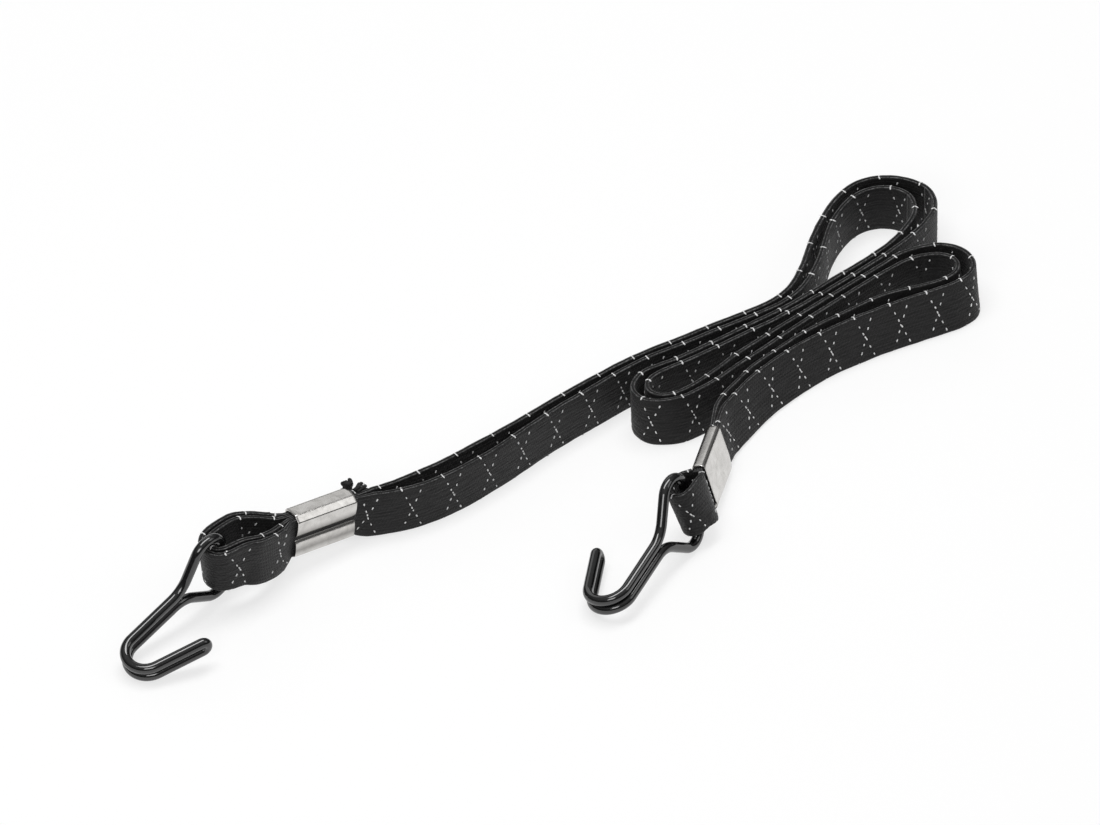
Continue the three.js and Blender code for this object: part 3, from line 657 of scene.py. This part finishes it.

# %% [markdown]
# ### Metal and plastic
# The ferrules are nickel-plated strip: satin, slightly mottled and finely speckled, with painted shade
# near the seam, which the mesh marks with an attribute. The hooks were dipped in black plastic, which
# flows a little before it sets, so the gloss is broken by a faint unevenness.

# %% Metal and plastic finishes
PLATE_TONES = [(0.3, (0.5, 0.49, 0.47)), (0.5, (0.6, 0.585, 0.565)), (0.7, (0.67, 0.66, 0.64))]
PLATE_ROUGHNESS = [(0.3, 0.26), (0.7, 0.15)]
# Dark colour painted as shade above the left ferrule's seam and on its lower front.
PAINTED_SHADE_TONE = (0.05, 0.047, 0.042, 1)
COAT_TONES = [(0.35, (0.003, 0.003, 0.0033)), (0.7, (0.006, 0.006, 0.0063))]
COAT_ROUGHNESS = [(0.4, 0.06), (0.75, 0.12)]
STEEL_TONES = [(0.3, (0.2, 0.2, 0.21)), (0.7, (0.42, 0.42, 0.43))]
STEEL_ROUGHNESS = [(0.3, 0.3), (0.7, 0.5)]


def make_nickel():
    material, shader = new_material("satin_nickel", Metallic=1.0)
    spot = add_node(material, "TexCoord").outputs["Object"]
    cloud = noise(material, spot, Scale=260.0, Detail=5.0, Roughness=0.65, Distortion=0.6)
    speck = noise(material, spot, Scale=1500.0, Detail=2.0)
    # Painted shade: the plating colour is darkened towards the seam groove and on the lower front.
    painted_shade = add_node(material, "Attribute", {"attribute_name": "painted_shade"}).outputs["Fac"]
    plate = ramp(material, cloud, PLATE_TONES)
    link(material, mix_colours(material, painted_shade, plate, PAINTED_SHADE_TONE), shader, "Base Color")
    link(material, ramp(material, cloud, PLATE_ROUGHNESS), shader, "Roughness")
    add_bump(material, shader, speck, strength=0.06, distance=0.0001)
    return material


def make_coat():
    material, shader = new_material("dipped_plastic", IOR=1.75)
    spot = add_node(material, "TexCoord").outputs["Object"]
    flow = noise(material, spot, Scale=300.0, Detail=2.0)
    scuff = noise(material, spot, Scale=900.0, Detail=4.0, Roughness=0.7)
    link(material, ramp(material, scuff, COAT_TONES), shader, "Base Color")
    link(material, ramp(material, scuff, COAT_ROUGHNESS), shader, "Roughness")
    add_bump(material, shader, flow, strength=0.06, distance=0.0004)
    return material


def make_steel():
    material, shader = new_material("cut_steel", Metallic=1.0)
    spot = add_node(material, "TexCoord").outputs["Object"]
    saw = noise(material, spot, Scale=1800.0, Detail=3.0)
    link(material, ramp(material, saw, STEEL_TONES), shader, "Base Color")
    link(material, ramp(material, saw, STEEL_ROUGHNESS), shader, "Roughness")
    return material


nickel = make_nickel()
dipped_plastic = make_coat()
cut_steel = make_steel()
print("made", nickel.name, dipped_plastic.name, "and", cut_steel.name)

# %% [markdown]
# ## The band
# The section has ribs on both faces and, at each edge, two rounded beads with a valley between them: the
# selvedge. The beads and ribs are real geometry, and each rib is a little uneven along its length,
# because a perfectly even band looks moulded. The stitches are left to the finish.

# %% Band section
RIB_DEPTH = 0.05
RIB_SHAPE = (0.0, 0.75, 1.0, 0.75)
BEAD_ANGLES = (25, 58, 90, 122, 155)
UNEVEN_RIBS = 0.05
UNEVEN_LIMITS = (-0.08, 0.04)
UNEVEN_EDGES = 0.06
RIB_REACH = 2
EDGE_REACH = 5
EVEN_ENDS = 3.0


def band_template():
    """Side and up coordinates round the section, as shares of half the thickness and half the width."""
    steps = RIB_COUNT * len(RIB_SHAPE)
    face = [(1 - RIB_DEPTH * (1 - RIB_SHAPE[k % len(RIB_SHAPE)]), FACE_SHARE * (2 * k / steps - 1))
            for k in range(steps + 1)]
    middle = (1 + FACE_SHARE) / 2
    lift = 1 - middle
    edge = []
    for centre in (0.5, -0.5):
        for degrees in BEAD_ANGLES:
            angle = math.radians(degrees)
            edge.append((centre + 0.5 * math.cos(angle), middle + lift * math.sin(angle)))
        if centre > 0:
            edge.append((0.0, middle))
    half = face + edge
    return np.array(half + [(-side, -up) for side, up in half])


TEMPLATE = band_template()


def smooth_random(rng, rows, columns, reach):
    values = rng.normal(size=(rows + 2 * reach, columns))
    kernel = np.hanning(2 * reach + 1)
    kernel /= math.sqrt((kernel**2).sum())
    return np.stack([np.convolve(values[:, k], kernel, "valid") for k in range(columns)], axis=1)


def band_sections(line, seed):
    rng = np.random.default_rng(seed)
    count = len(line["along"])
    sections = np.empty((count, len(TEMPLATE), 2))
    along = line["along"]
    even = np.clip(np.minimum(along - along[0], along[-1] - along) / EVEN_ENDS, 0, 1)[:, None]
    uneven = smooth_random(rng, count, len(TEMPLATE), RIB_REACH) * UNEVEN_RIBS * even
    wavy = smooth_random(rng, count, 1, EDGE_REACH) * UNEVEN_EDGES * even
    sections[:, :, 0] = TEMPLATE[:, 0] * line["thickness"][:, None] / 2
    sections[:, :, 0] += np.clip(uneven, *UNEVEN_LIMITS) * np.sign(TEMPLATE[:, 0])
    sections[:, :, 1] = TEMPLATE[:, 1] * (line["width"][:, None] / 2 - np.abs(wavy))
    return sections


def keep_place(piece, place):
    """Keeps where each point lies on the flat band, for the weave finish."""
    attribute = piece.data.attributes.new("band_place", "FLOAT_VECTOR", "POINT")
    attribute.data.foreach_set("vector", np.asarray(place, np.float32).reshape(-1))


def add_band(name, line, seed):
    sections = band_sections(line, seed)
    piece = solid_piece(name, rings_at(line, sections), weave)
    count, around, _ = sections.shape
    place = np.empty((count, around, 3))
    place[:, :, 0] = line["along"][:, None]
    place[:, :, 1] = TEMPLATE[:, 1] * BAND_WIDTH / 2
    place[:, :, 2] = TEMPLATE[:, 0]
    keep_place(piece, place)
    print(name, len(piece.data.vertices), "points,", round(line["along"][-1] - line["along"][0]), "mm")
    return piece


PLY_PIECES = ("left_run", "folds", "right_run")
first_bands = [add_band(f"first_ply_{part}", line, 1 + k)
               for k, (part, line) in enumerate(zip(PLY_PIECES, first_ply))]
second_bands = [add_band(f"second_ply_{part}", line, 4 + k)
                for k, (part, line) in enumerate(zip(PLY_PIECES, second_ply))]
left_outer_band = add_band("left_loop_outer", left_outer, 7)
left_inner_band = add_band("left_loop_inner", left_inner, 8)
right_band = add_band("right_loop", right_single, 9)

# %% [markdown]
# ## The white tracer yarns
# Two white yarns wind round the band in opposite senses, over and under the ribs. On each face they cross
# in an X, one of them on top, and only the parts that lie over a rib show, as short dashes. Where a yarn
# goes round an edge it shows as a tick on the selvedge beads. Each dash is a small grain of yarn, so that
# it catches the light and stands a little proud, as a painted dash would not.

# %% Dashes of the tracer yarns
OVER_RISES = (0.57, 0.22, 0.03, -0.09, -0.42, -0.78)
UNDER_RISES = (0.72, 0.36, -0.26, -0.6)
DASH_LENGTHS = (0.7125, 1.0925)
DASH_WIDTHS = (0.416, 0.572)
DASH_HEIGHT = 0.34
DASH_SINK = 0.16
DASH_SCATTER = 0.12
TICK_LENGTHS = (0.92, 1.265)
TICK_WIDTHS = (0.493, 0.638)
TICK_TILT = 0.5
TICK_ACROSS, TICK_DOWN, TICK_ALONG = 0.9, 0.45, 0.25
TICK_SINK = 0.12
TICK_OFFSET = 0.33
END_MARGIN = 0.6
CRIMP_MARGIN = 0.02
CUT_SPECKS = (-0.6, 0.1, 0.55, 0.8, 1.02)
CUT_SPECK_SIZE = (0.8, 0.45, 0.45)
CUT_SPECK_REACH = 0.9
CUT_SPECK_LEAN = 0.5
CUT_SPECK_SCATTER = 0.45
GRAIN_SIDES = 6
GRAIN_RINGS = ((-0.5, 0.35), (-0.28, 0.9), (0.28, 0.9), (0.5, 0.35))


def frame_at(line, along):
    """Place, tangent, side, up, width and thickness at a length along the band."""
    found = {}
    for key in ("place", "tangent", "side", "up"):
        found[key] = np.array([np.interp(along, line["along"], line[key][:, k]) for k in range(3)])
    for key in ("width", "thickness"):
        found[key] = np.interp(along, line["along"], line[key])
    return found


def grain(centre, lengthwise, outward, length, width, height):
    """Points of one grain of yarn: rings of points round a short line."""
    sideways = np.cross(lengthwise, outward)
    points = []
    for share, swell in GRAIN_RINGS:
        for k in range(GRAIN_SIDES):
            angle = 2 * math.pi * k / GRAIN_SIDES
            points.append(centre + share * length * lengthwise
                          + swell * (width / 2 * math.cos(angle) * sideways
                                     + height / 2 * math.sin(angle) * outward))
    return points


def face_dash(line, along, rise, face, slant, rng):
    spot = frame_at(line, along)
    outward = unit(face * spot["side"])
    lengthwise = unit(spot["up"] + slant * spot["tangent"])
    shift = rng.normal(scale=DASH_SCATTER)
    centre = spot["place"] + outward * (spot["thickness"] / 2 + DASH_HEIGHT / 2 - DASH_SINK)
    centre = centre + spot["up"] * (rise * spot["width"] / 2 + shift)
    length, width = rng.uniform(*DASH_LENGTHS), rng.uniform(*DASH_WIDTHS)
    return grain(centre, lengthwise, outward, length, width, DASH_HEIGHT)


def edge_tick(line, along, edge, face, rng):
    spot = frame_at(line, along)
    outward = unit(TICK_TILT * face * spot["side"] + edge * spot["up"])
    lengthwise = unit(TICK_ACROSS * face * spot["side"] - TICK_DOWN * edge * spot["up"]
                      + TICK_ALONG * spot["tangent"])
    centre = spot["place"] + edge * spot["up"] * (spot["width"] / 2 - TICK_SINK)
    centre = centre + face * spot["side"] * (spot["thickness"] * TICK_OFFSET)
    length, width = rng.uniform(*TICK_LENGTHS), rng.uniform(*TICK_WIDTHS)
    return grain(centre, lengthwise, outward, length, width, DASH_HEIGHT)


def in_sight(line, along):
    """Whether a length along the band lies clear of its ends and outside the ferrules."""
    low, high = line["along"][0] + END_MARGIN, line["along"][-1] - END_MARGIN
    width = np.interp(along, line["along"], line["width"])
    return low < along < high and width > CRIMPED_WIDTH + CRIMP_MARGIN


def tracer_grains(line, knots, rng):
    """The dashes and ticks on one piece of band. Its knots give how many crosses lie before a length."""
    lengths, numbers = zip(*knots)
    grains = []
    for face in (-1, 1):
        for whole in range(math.floor(numbers[0]), math.ceil(numbers[-1]) + 1):
            number = whole + (0.5 if face > 0 else 0)
            centre, before, after = np.interp((number, number - 0.5, number + 0.5), numbers, lengths)
            pitch = after - before
            for yarn, rises in ((1, OVER_RISES), (-1, UNDER_RISES)):
                slant = face * yarn * pitch / 2 / BAND_WIDTH
                for rise in rises:
                    along = centre + face * yarn * rise * pitch / 4
                    if in_sight(line, along):
                        grains.append(face_dash(line, along, rise, face, slant, rng))
                along = centre + face * pitch / 4
                if in_sight(line, along):
                    grains.append(edge_tick(line, along, yarn, face, rng))
    return grains


def cut_end_specks(line, rng):
    """Ends of the white yarns among the frayed black ones."""
    spot = frame_at(line, 0)
    grains = []
    for rise in CUT_SPECKS:
        lengthwise = unit(-spot["tangent"] + rng.normal(scale=CUT_SPECK_LEAN, size=3))
        outward = unit(np.cross(lengthwise, rng.normal(size=3)))
        centre = spot["place"] + rise * spot["width"] / 2 * spot["up"] - CUT_SPECK_REACH * spot["tangent"]
        centre = centre + rng.normal(scale=CUT_SPECK_SCATTER) * spot["side"]
        grains.append(grain(centre, lengthwise, outward, *CUT_SPECK_SIZE))
    return grains


def add_tracer(name, line, knots, seed):
    grains = tracer_grains(line, knots, np.random.default_rng(seed))
    if "left_loop" in name:
        grains += cut_end_specks(line, np.random.default_rng(seed + 20))
    piece = tubes_piece(name, grains, len(GRAIN_RINGS), GRAIN_SIDES, tracer_yarn)
    print(name, len(grains), "dashes")
    return piece


FIRST_KNOTS = ((-8.0, -1), (5.7, 0), (87.7, 6), (361.3, 28), (374.1, 29), (465.7, 36), (590, 46.3))
SECOND_KNOTS = ((-8.2, -0.6), (0, 0), (89, 6.5), (498.2, 38.5), (594.5, 46.5), (606.5, 47.5))
LEFT_OUTER_KNOTS = ((-11.0, -1), (2.7, 0), (68.8, 5), (85.4, 6), (121, 8))
LEFT_INNER_KNOTS = ((-8.0, -1), (6.0, 0), (116, 8))
RIGHT_LOOP_KNOTS = ((-7.3, -1), (5.3, 0), (43.1, 3), (81, 6))
first_tracers = [add_tracer(f"first_ply_{part}_tracer", line, FIRST_KNOTS, 11 + k)
                 for k, (part, line) in enumerate(zip(PLY_PIECES, first_ply))]
second_tracers = [add_tracer(f"second_ply_{part}_tracer", line, SECOND_KNOTS, 14 + k)
                  for k, (part, line) in enumerate(zip(PLY_PIECES, second_ply))]
left_outer_tracer = add_tracer("left_loop_outer_tracer", left_outer, LEFT_OUTER_KNOTS, 17)
left_inner_tracer = add_tracer("left_loop_inner_tracer", left_inner, LEFT_INNER_KNOTS, 18)
right_tracer = add_tracer("right_loop_tracer", right_single, RIGHT_LOOP_KNOTS, 19)

# %% [markdown]
# ## The frayed cut ends
# On the far side of the left ferrule the two cut ends of the band stick out, frayed into bristly lumps
# of black yarn. Each yarn end is a short bent tuft, and its lean, bend and length are drawn at random
# with a fixed seed.

# %% Frayed ends
FRAY_YARNS = 170
FRAY_RADIUS = 0.7
FRAY_SIDES = 6
FRAY_STEPS = (0.0, 0.35, 0.7, 0.9, 1.0)
FRAY_SWELL = (0.9, 1.0, 1.0, 0.8, 0.4)
FRAY_SPREAD_UP, FRAY_SPREAD_SIDE = 1.02, 1.1
FRAY_LEAN_UP, FRAY_LEAN_SIDE = 0.1, 0.3
FRAY_SCATTER = 0.14
FRAY_BEND = 0.12
FRAY_SHORTEST = 0.6
FRAY_PATTERN = (90, 6)


def fray_yarn(base, out, bend, length):
    """Rings of points along one bent yarn end."""
    first = unit(np.cross(out, bend))
    second = np.cross(first, out)
    rings = []
    for share, swell in zip(FRAY_STEPS, FRAY_SWELL):
        middle = base + length * (share * out + share**2 * bend)
        for k in range(FRAY_SIDES):
            angle = 2 * math.pi * k / FRAY_SIDES
            around = math.cos(angle) * first + math.sin(angle) * second
            rings.append(middle + FRAY_RADIUS * swell * around)
    return rings


def add_fray(name, line, reach, depth, top, seed):
    rng = np.random.default_rng(seed)
    spot = frame_at(line, 0)
    yarns, places = [], []
    for _ in range(FRAY_YARNS):
        rise, across = rng.uniform((-1, -1), (top, 1))
        start = depth * rng.uniform()
        base = (spot["place"] + start * spot["tangent"]
                + FRAY_SPREAD_UP * rise * spot["width"] / 2 * spot["up"]
                + FRAY_SPREAD_SIDE * across * spot["thickness"] / 2 * spot["side"])
        lean = (-spot["tangent"] + FRAY_LEAN_UP * rise * spot["up"] + FRAY_LEAN_SIDE * across * spot["side"]
                + rng.normal(scale=FRAY_SCATTER, size=3))
        bend = rng.normal(scale=FRAY_BEND, size=3)
        yarns.append(fray_yarn(base, unit(lean), bend, reach * rng.uniform(FRAY_SHORTEST, 1.0)))
        place = (rng.uniform(0, FRAY_PATTERN[0]), FRAY_PATTERN[1] * rise, 1.0)
        places += [place] * (len(FRAY_STEPS) * FRAY_SIDES)
    piece = tubes_piece(name, yarns, len(FRAY_STEPS), FRAY_SIDES, weave)
    keep_place(piece, places)
    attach(piece, "left_end")
    print(name, len(yarns), "yarn ends")


add_fray("left_loop_outer_fray", left_outer, reach=2.4, depth=0.6, top=1.0, seed=41)
add_fray("left_loop_inner_fray", left_inner, reach=2.8, depth=2.6, top=0.88, seed=42)

# %% [markdown]
# ## Which body each piece goes with
# The folded middle stands still and goes with the strap's body, and the loops go with their ferrules.
# The runs beside the folds are left where they lie, and the plain solids that the plies and loops stand
# for are hidden.

# %% Bodies and hidden solids of the band
PLY_LENGTHS = (0.231, 0.24, 0.123)


def stretch(piece):
    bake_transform(piece)


def stand_for(section):
    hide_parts(f"{section}_jacket", f"{section}_rubber")


for bands, tracers, lines, sections in (
    (first_bands, first_tracers, first_ply, ("left_run_front", "folded_first", "right_run_back")),
    (second_bands, second_tracers, second_ply, ("left_run_rear", "folded_second", "right_run_front")),
):
    for left, middle, right in (bands, tracers):
        stretch(left)
        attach(middle, "strap")
        stretch(right)
    for band, section, line, length, exit_end, tracer in zip(
            bands, sections, lines, PLY_LENGTHS, (0, 0, -1), tracers):
        stand_for(section)
for piece in (left_outer_band, left_outer_tracer, left_inner_band, left_inner_tracer):
    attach(piece, "left_end")
for piece in (right_band, right_tracer):
    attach(piece, "right_end")
stand_for("left_loop_outer")
stand_for("left_loop_inner")
stand_for("right_loop")

# %% [markdown]
# ## The hooks
# The coat is a sleeve over the wire, open at the two stub ends, where the cut wire shows. Sections are
# turned as little as possible from one station to the next, so the surface doesn't twist.

# %% Hook pieces
WIRE_SIDES = 24
COAT_FIT = 0.05
COAT_BORE = WIRE_DIAMETER / 2 + COAT_FIT
COAT_LIP = 0.35
LIP_LENGTH = 0.3
COAT_SHARP = 60
METAL_SHARP = 50


def wire_line(path, first_up):
    tangents = np.gradient(path, axis=0)
    tangents /= np.linalg.norm(tangents, axis=1, keepdims=True)
    ups = []
    up = first_up
    for tangent in tangents:
        up = unit(up - up.dot(tangent) * tangent)
        ups.append(up)
    ups = np.array(ups)
    return {"place": path, "up": ups, "side": np.cross(ups, tangents)}


def round_sections(radii):
    angles = 2 * np.pi * np.arange(WIRE_SIDES) / WIRE_SIDES
    circle = np.stack([np.cos(angles), np.sin(angles)], axis=1)
    return np.asarray(radii)[:, None, None] * circle[None, :, :]


def add_hook(side, end):
    _, turned, path = hook_place(end)
    line = wire_line(path, turned[:, 1])
    lip = [path[tip] + LIP_LENGTH * unit(path[after] - path[tip]) for tip, after in ((0, 1), (-1, -2))]
    full = np.concatenate([path[:1], lip[:1], path[1:-1], lip[1:], path[-1:]])
    skin_line = wire_line(full, turned[:, 1])
    skin = np.full(len(full), COATED_DIAMETER / 2)
    skin[[0, -1]] -= COAT_LIP
    bore = np.full(len(full), COAT_BORE)
    coat = sleeve_piece(f"{side}_hook_skin", rings_at(skin_line, round_sections(skin)),
                        rings_at(skin_line, round_sections(bore)), dipped_plastic, COAT_SHARP)
    core = round_sections(np.full(len(path), WIRE_DIAMETER / 2))
    wire = solid_piece(f"{side}_hook_core", rings_at(line, core), cut_steel, METAL_SHARP)
    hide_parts(f"{side}_hook_coat")
    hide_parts(f"{side}_hook_wire")
    for piece in (coat, wire):
        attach(piece, f"{side}_hook")
    print(coat.name, len(coat.data.vertices), "points")


add_hook("left", LEFT_END)
add_hook("right", RIGHT_END)

# %% [markdown]
# ## The ferrules
# A ferrule is a strip of plated sheet, wrapped round the plies and pressed. On the left one the strip's
# two edges meet in front, rolled into the plies, so the front is two swelling halves with a groove
# between them. Its front corners are pressed to flat bevels, and its colour is darkened along the seam
# as painted shade. The right one holds only two plies and is nearly flat, and one of its corners is
# rounded off.

# %% Ferrule pieces
BACK_CORNER = 1.5
BEVEL_ANGLE = 52
BEVEL_LENGTH = 1.8
BEVEL_ROUND = 0.9
LIP_RADIUS = 3.2
LIP_ROLL = 42
LIP_GAP = 1.1
PAINTED_SHADE_REACH = 3.6
LOWER_PAINTED_SHADE = 0.55
LOWER_REACH = 2
FRONT_DEPTH = 1.5
FRONT_FADE = 0.5
PAINTED_SHADE_POWER = 1.5
FRONT_BULGE = 0.12
CORNER_TRIM = 5.0
CORNER_STEPS = 10
FRONT_STEPS = 12
END_ROUND = 0.2
END_STEPS = ((0.0, 1.0), (0.3, 0.3), (1.0, 0.0))
END_LENGTH = 1
FERRULE_STATIONS = 10


def arc(centre, radius, start, finish):
    """Points round part of a circle, with angles in degrees."""
    angles = np.radians(np.linspace(start, finish, CORNER_STEPS + 1))
    return [(centre[0] + radius * math.cos(a), centre[1] + radius * math.sin(a)) for a in angles]


def bevelled_corner(half, offset):
    """The pressed corner between a ferrule's front and top: a flat bevel between two small rounds."""
    top = FERRULE_HEIGHT / 2
    slope = math.radians(BEVEL_ANGLE)
    low = top - BEVEL_ROUND - BEVEL_LENGTH * math.cos(slope)
    in_front = (half - BEVEL_ROUND, low)
    on_top = (half - BEVEL_ROUND - BEVEL_LENGTH * math.sin(slope), top - BEVEL_ROUND)
    front_round = arc(in_front, BEVEL_ROUND - offset, 0, BEVEL_ANGLE)
    return low, front_round + arc(on_top, BEVEL_ROUND - offset, BEVEL_ANGLE, 90)


def upper_half(half, offset, lip):
    """The upper half of a ferrule's outline, from the middle of its front over the top to the back."""
    top = FERRULE_HEIGHT / 2
    if lip:
        low = LIP_GAP / 2 + LIP_RADIUS * math.sin(math.radians(LIP_ROLL))
        points = arc((half - LIP_RADIUS, low), LIP_RADIUS - offset, -LIP_ROLL, 0)
        high, corner = bevelled_corner(half, offset)
    else:
        low = 0.0
        points = [(half - offset, 0.0)]
        high = top - BACK_CORNER
        corner = arc((half - BACK_CORNER, high), BACK_CORNER - offset, 0, 90)
    for share in np.linspace(0, 1, FRONT_STEPS + 1)[1:-1]:
        swell = FRONT_BULGE * 4 * share * (1 - share) if lip else 0.0
        points.append((half - offset + swell, low + share * (high - low)))
    points += corner
    points += arc((BACK_CORNER - half, top - BACK_CORNER), BACK_CORNER - offset, 90, 180)
    return points + [(offset - half, 0.0)]


def ferrule_outline(half, offset, lip):
    upper = upper_half(half, offset, lip)
    lower = [(side, -up) for side, up in upper[-2::-1]]
    return np.array(upper + (lower if lip else lower[:-1]))


def trimmed(rings, sections, tangent, half):
    """Rings whose lower front corner is rounded off at the inner end, fading out along the ferrule."""
    from_bottom = sections[:, :, 1] + FERRULE_HEIGHT / 2
    low = 1 - np.clip(from_bottom / CORNER_TRIM, 0, 1)
    front = np.clip((sections[:, :, 0] + half) / (2 * half), 0, 1)
    fade = 1 - np.linspace(0, 1, len(sections))[:, None]
    shift = CORNER_TRIM * (1 - np.sqrt(1 - low**2)) * front * fade
    return rings + shift[:, :, None] * tangent


def add_painted_shade(piece, sections, half, lip):
    """Marks where the colour is darkened as painted shade: above the seam and, fainter, in the middle of
    the lower front.
    """
    front = np.clip((sections[:, :, 0] - half + FRONT_DEPTH) / FRONT_FADE, 0, 1)
    height = sections[:, :, 1]
    above = np.clip(1 - (height - LIP_GAP / 2) / PAINTED_SHADE_REACH, 0, 1) ** PAINTED_SHADE_POWER * (height > 0)
    below = LOWER_PAINTED_SHADE * np.clip(1 - np.abs(height + FERRULE_HEIGHT / 4) / LOWER_REACH, 0, 1)
    attribute = piece.data.attributes.new("painted_shade", "FLOAT", "POINT")
    attribute.data.foreach_set("value", ((above + below) * front * lip).reshape(-1).astype(np.float32))


def add_ferrule(side, end, plies, lip):
    inner, tangent, across, up = ferrule_axes(end)
    half = FERRULE_WALL + (plies * CRIMPED_PLY + (plies + 1) * PLY_CLEARANCE) / 2
    edge = [(END_ROUND * step, END_ROUND * shrink) for step, shrink in END_STEPS]
    middle = np.linspace(END_LENGTH, FERRULE_LENGTH - END_LENGTH, FERRULE_STATIONS)
    stations = edge + [(along, 0.0) for along in middle]
    stations += [(FERRULE_LENGTH - along, shrink) for along, shrink in edge[::-1]]
    places = np.array([inner + along * tangent for along, _ in stations])
    line = {"place": places, "side": np.tile(across, (len(places), 1)), "up": np.tile(up, (len(places), 1))}
    outer = np.array([ferrule_outline(half, shrink, lip) for _, shrink in stations])
    bore = np.array([ferrule_outline(half, FERRULE_WALL - shrink, lip) for _, shrink in stations])
    if lip:
        sections = np.concatenate([outer, bore[:, ::-1]], axis=1)
        piece = solid_piece(f"{side}_sleeve", rings_at(line, sections), nickel, METAL_SHARP)
    else:
        sections = np.concatenate([outer, bore[::-1]])
        walls = [trimmed(rings_at(line, wall), wall, tangent, half) for wall in (outer, bore)]
        piece = sleeve_piece(f"{side}_sleeve", *walls, nickel, METAL_SHARP)
    add_painted_shade(piece, sections, half, lip)
    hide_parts(f"{side}_ferrule")
    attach(piece, f"{side}_end")
    print(piece.name, len(piece.data.vertices), "points")


add_ferrule("left", LEFT_END, 4, True)
add_ferrule("right", RIGHT_END, 2, False)

# %% [markdown]
# ## Table and light
# One long lamp overhead draws thin bright lines along the hooks. Smaller lamps at the side, the back and
# the front brighten the ferrules, which mirror them. The sky is dim and fades towards the horizon, so
# that the coats stay black. Plain white is mixed into what the camera and shiny surfaces see of the
# table, which makes it white without more light on the strap and leaves a faint shadow.

# %% Table and light
TABLE_SIZE = 8.0
TABLE_WHITE = 0.96
TABLE_GLOW = 0.7
SKY_LEVEL = 0.48
SKY_STOPS = [(0.0, 0.15), (0.3, 0.18), (0.6, 0.5), (0.85, 0.8)]


def lighten_table(material, shader):
    white = add_node(material, "Emission", Color=(1, 1, 1, 1), Strength=1.0)
    rays = add_node(material, "LightPath").outputs
    mirrored = calculate(material, "MAXIMUM", rays["Is Glossy Ray"], rays["Is Transmission Ray"])
    seen = calculate(material, "MAXIMUM", rays["Is Camera Ray"], mirrored)
    share = calculate(material, "MULTIPLY", seen, TABLE_GLOW)
    mixed = add_node(material, "MixShader", i0=share, i1=shader.outputs[0], i2=white.outputs[0])
    output = material.node_tree.nodes["Material Output"]
    material.node_tree.links.new(mixed.outputs[0], output.inputs["Surface"])


def make_table():
    material, shader = new_material("white_table", Roughness=0.9, Specular_IOR_Level=0.0,
                                    Base_Color=(TABLE_WHITE, TABLE_WHITE, TABLE_WHITE, 1))
    lighten_table(material, shader)
    half = TABLE_SIZE / 2
    mesh = bpy.data.meshes.new("table")
    corners = [(-half, -half, 0), (half, -half, 0), (half, half, 0), (-half, half, 0)]
    mesh.from_pydata(corners, [], [(0, 1, 2, 3)])
    mesh.materials.append(material)
    add_object("table", mesh)


def add_lamp(name, place, size, watts, aim=(0.0, 0.0, 0.0)):
    data = bpy.data.lights.new(name, "AREA")
    data.shape = "RECTANGLE"
    data.size, data.size_y = size
    data.energy = watts
    lamp = add_object(name, data)
    lamp.location = place
    direction = Vector(aim) - Vector(place)
    lamp.rotation_euler = direction.to_track_quat("-Z", "Y").to_euler()


def make_sky():
    """Light from above that fades towards the horizon, as in a studio with dark walls."""
    world = bpy.data.worlds.new("soft_sky")
    world.use_nodes = True
    background = world.node_tree.nodes["Background"]
    background.inputs["Strength"].default_value = SKY_LEVEL
    direction = add_node(world, "TexCoord").outputs["Generated"]
    height = add_node(world, "SeparateXYZ", Vector=direction).outputs["Z"]
    link(world, ramp(world, height, SKY_STOPS), background, "Color")
    bpy.context.scene.world = world


make_table()
make_sky()
add_lamp("main_lamp", place=(0.05, 0.25, 1.5), size=(1.5, 0.5), watts=15.5, aim=(0.05, 0.02, 0.0))
add_lamp("side_lamp", place=(-0.8, -0.6, 0.8), size=(0.6, 0.4), watts=3.4)
add_lamp("back_lamp", place=(0.6, 1.28, 0.76), size=(1.3, 0.7), watts=1.9)
add_lamp("front_lamp", place=(0.86, -0.8, 1.02), size=(0.6, 0.7), watts=1.5)
bpy.context.scene.view_settings.view_transform = "Standard"
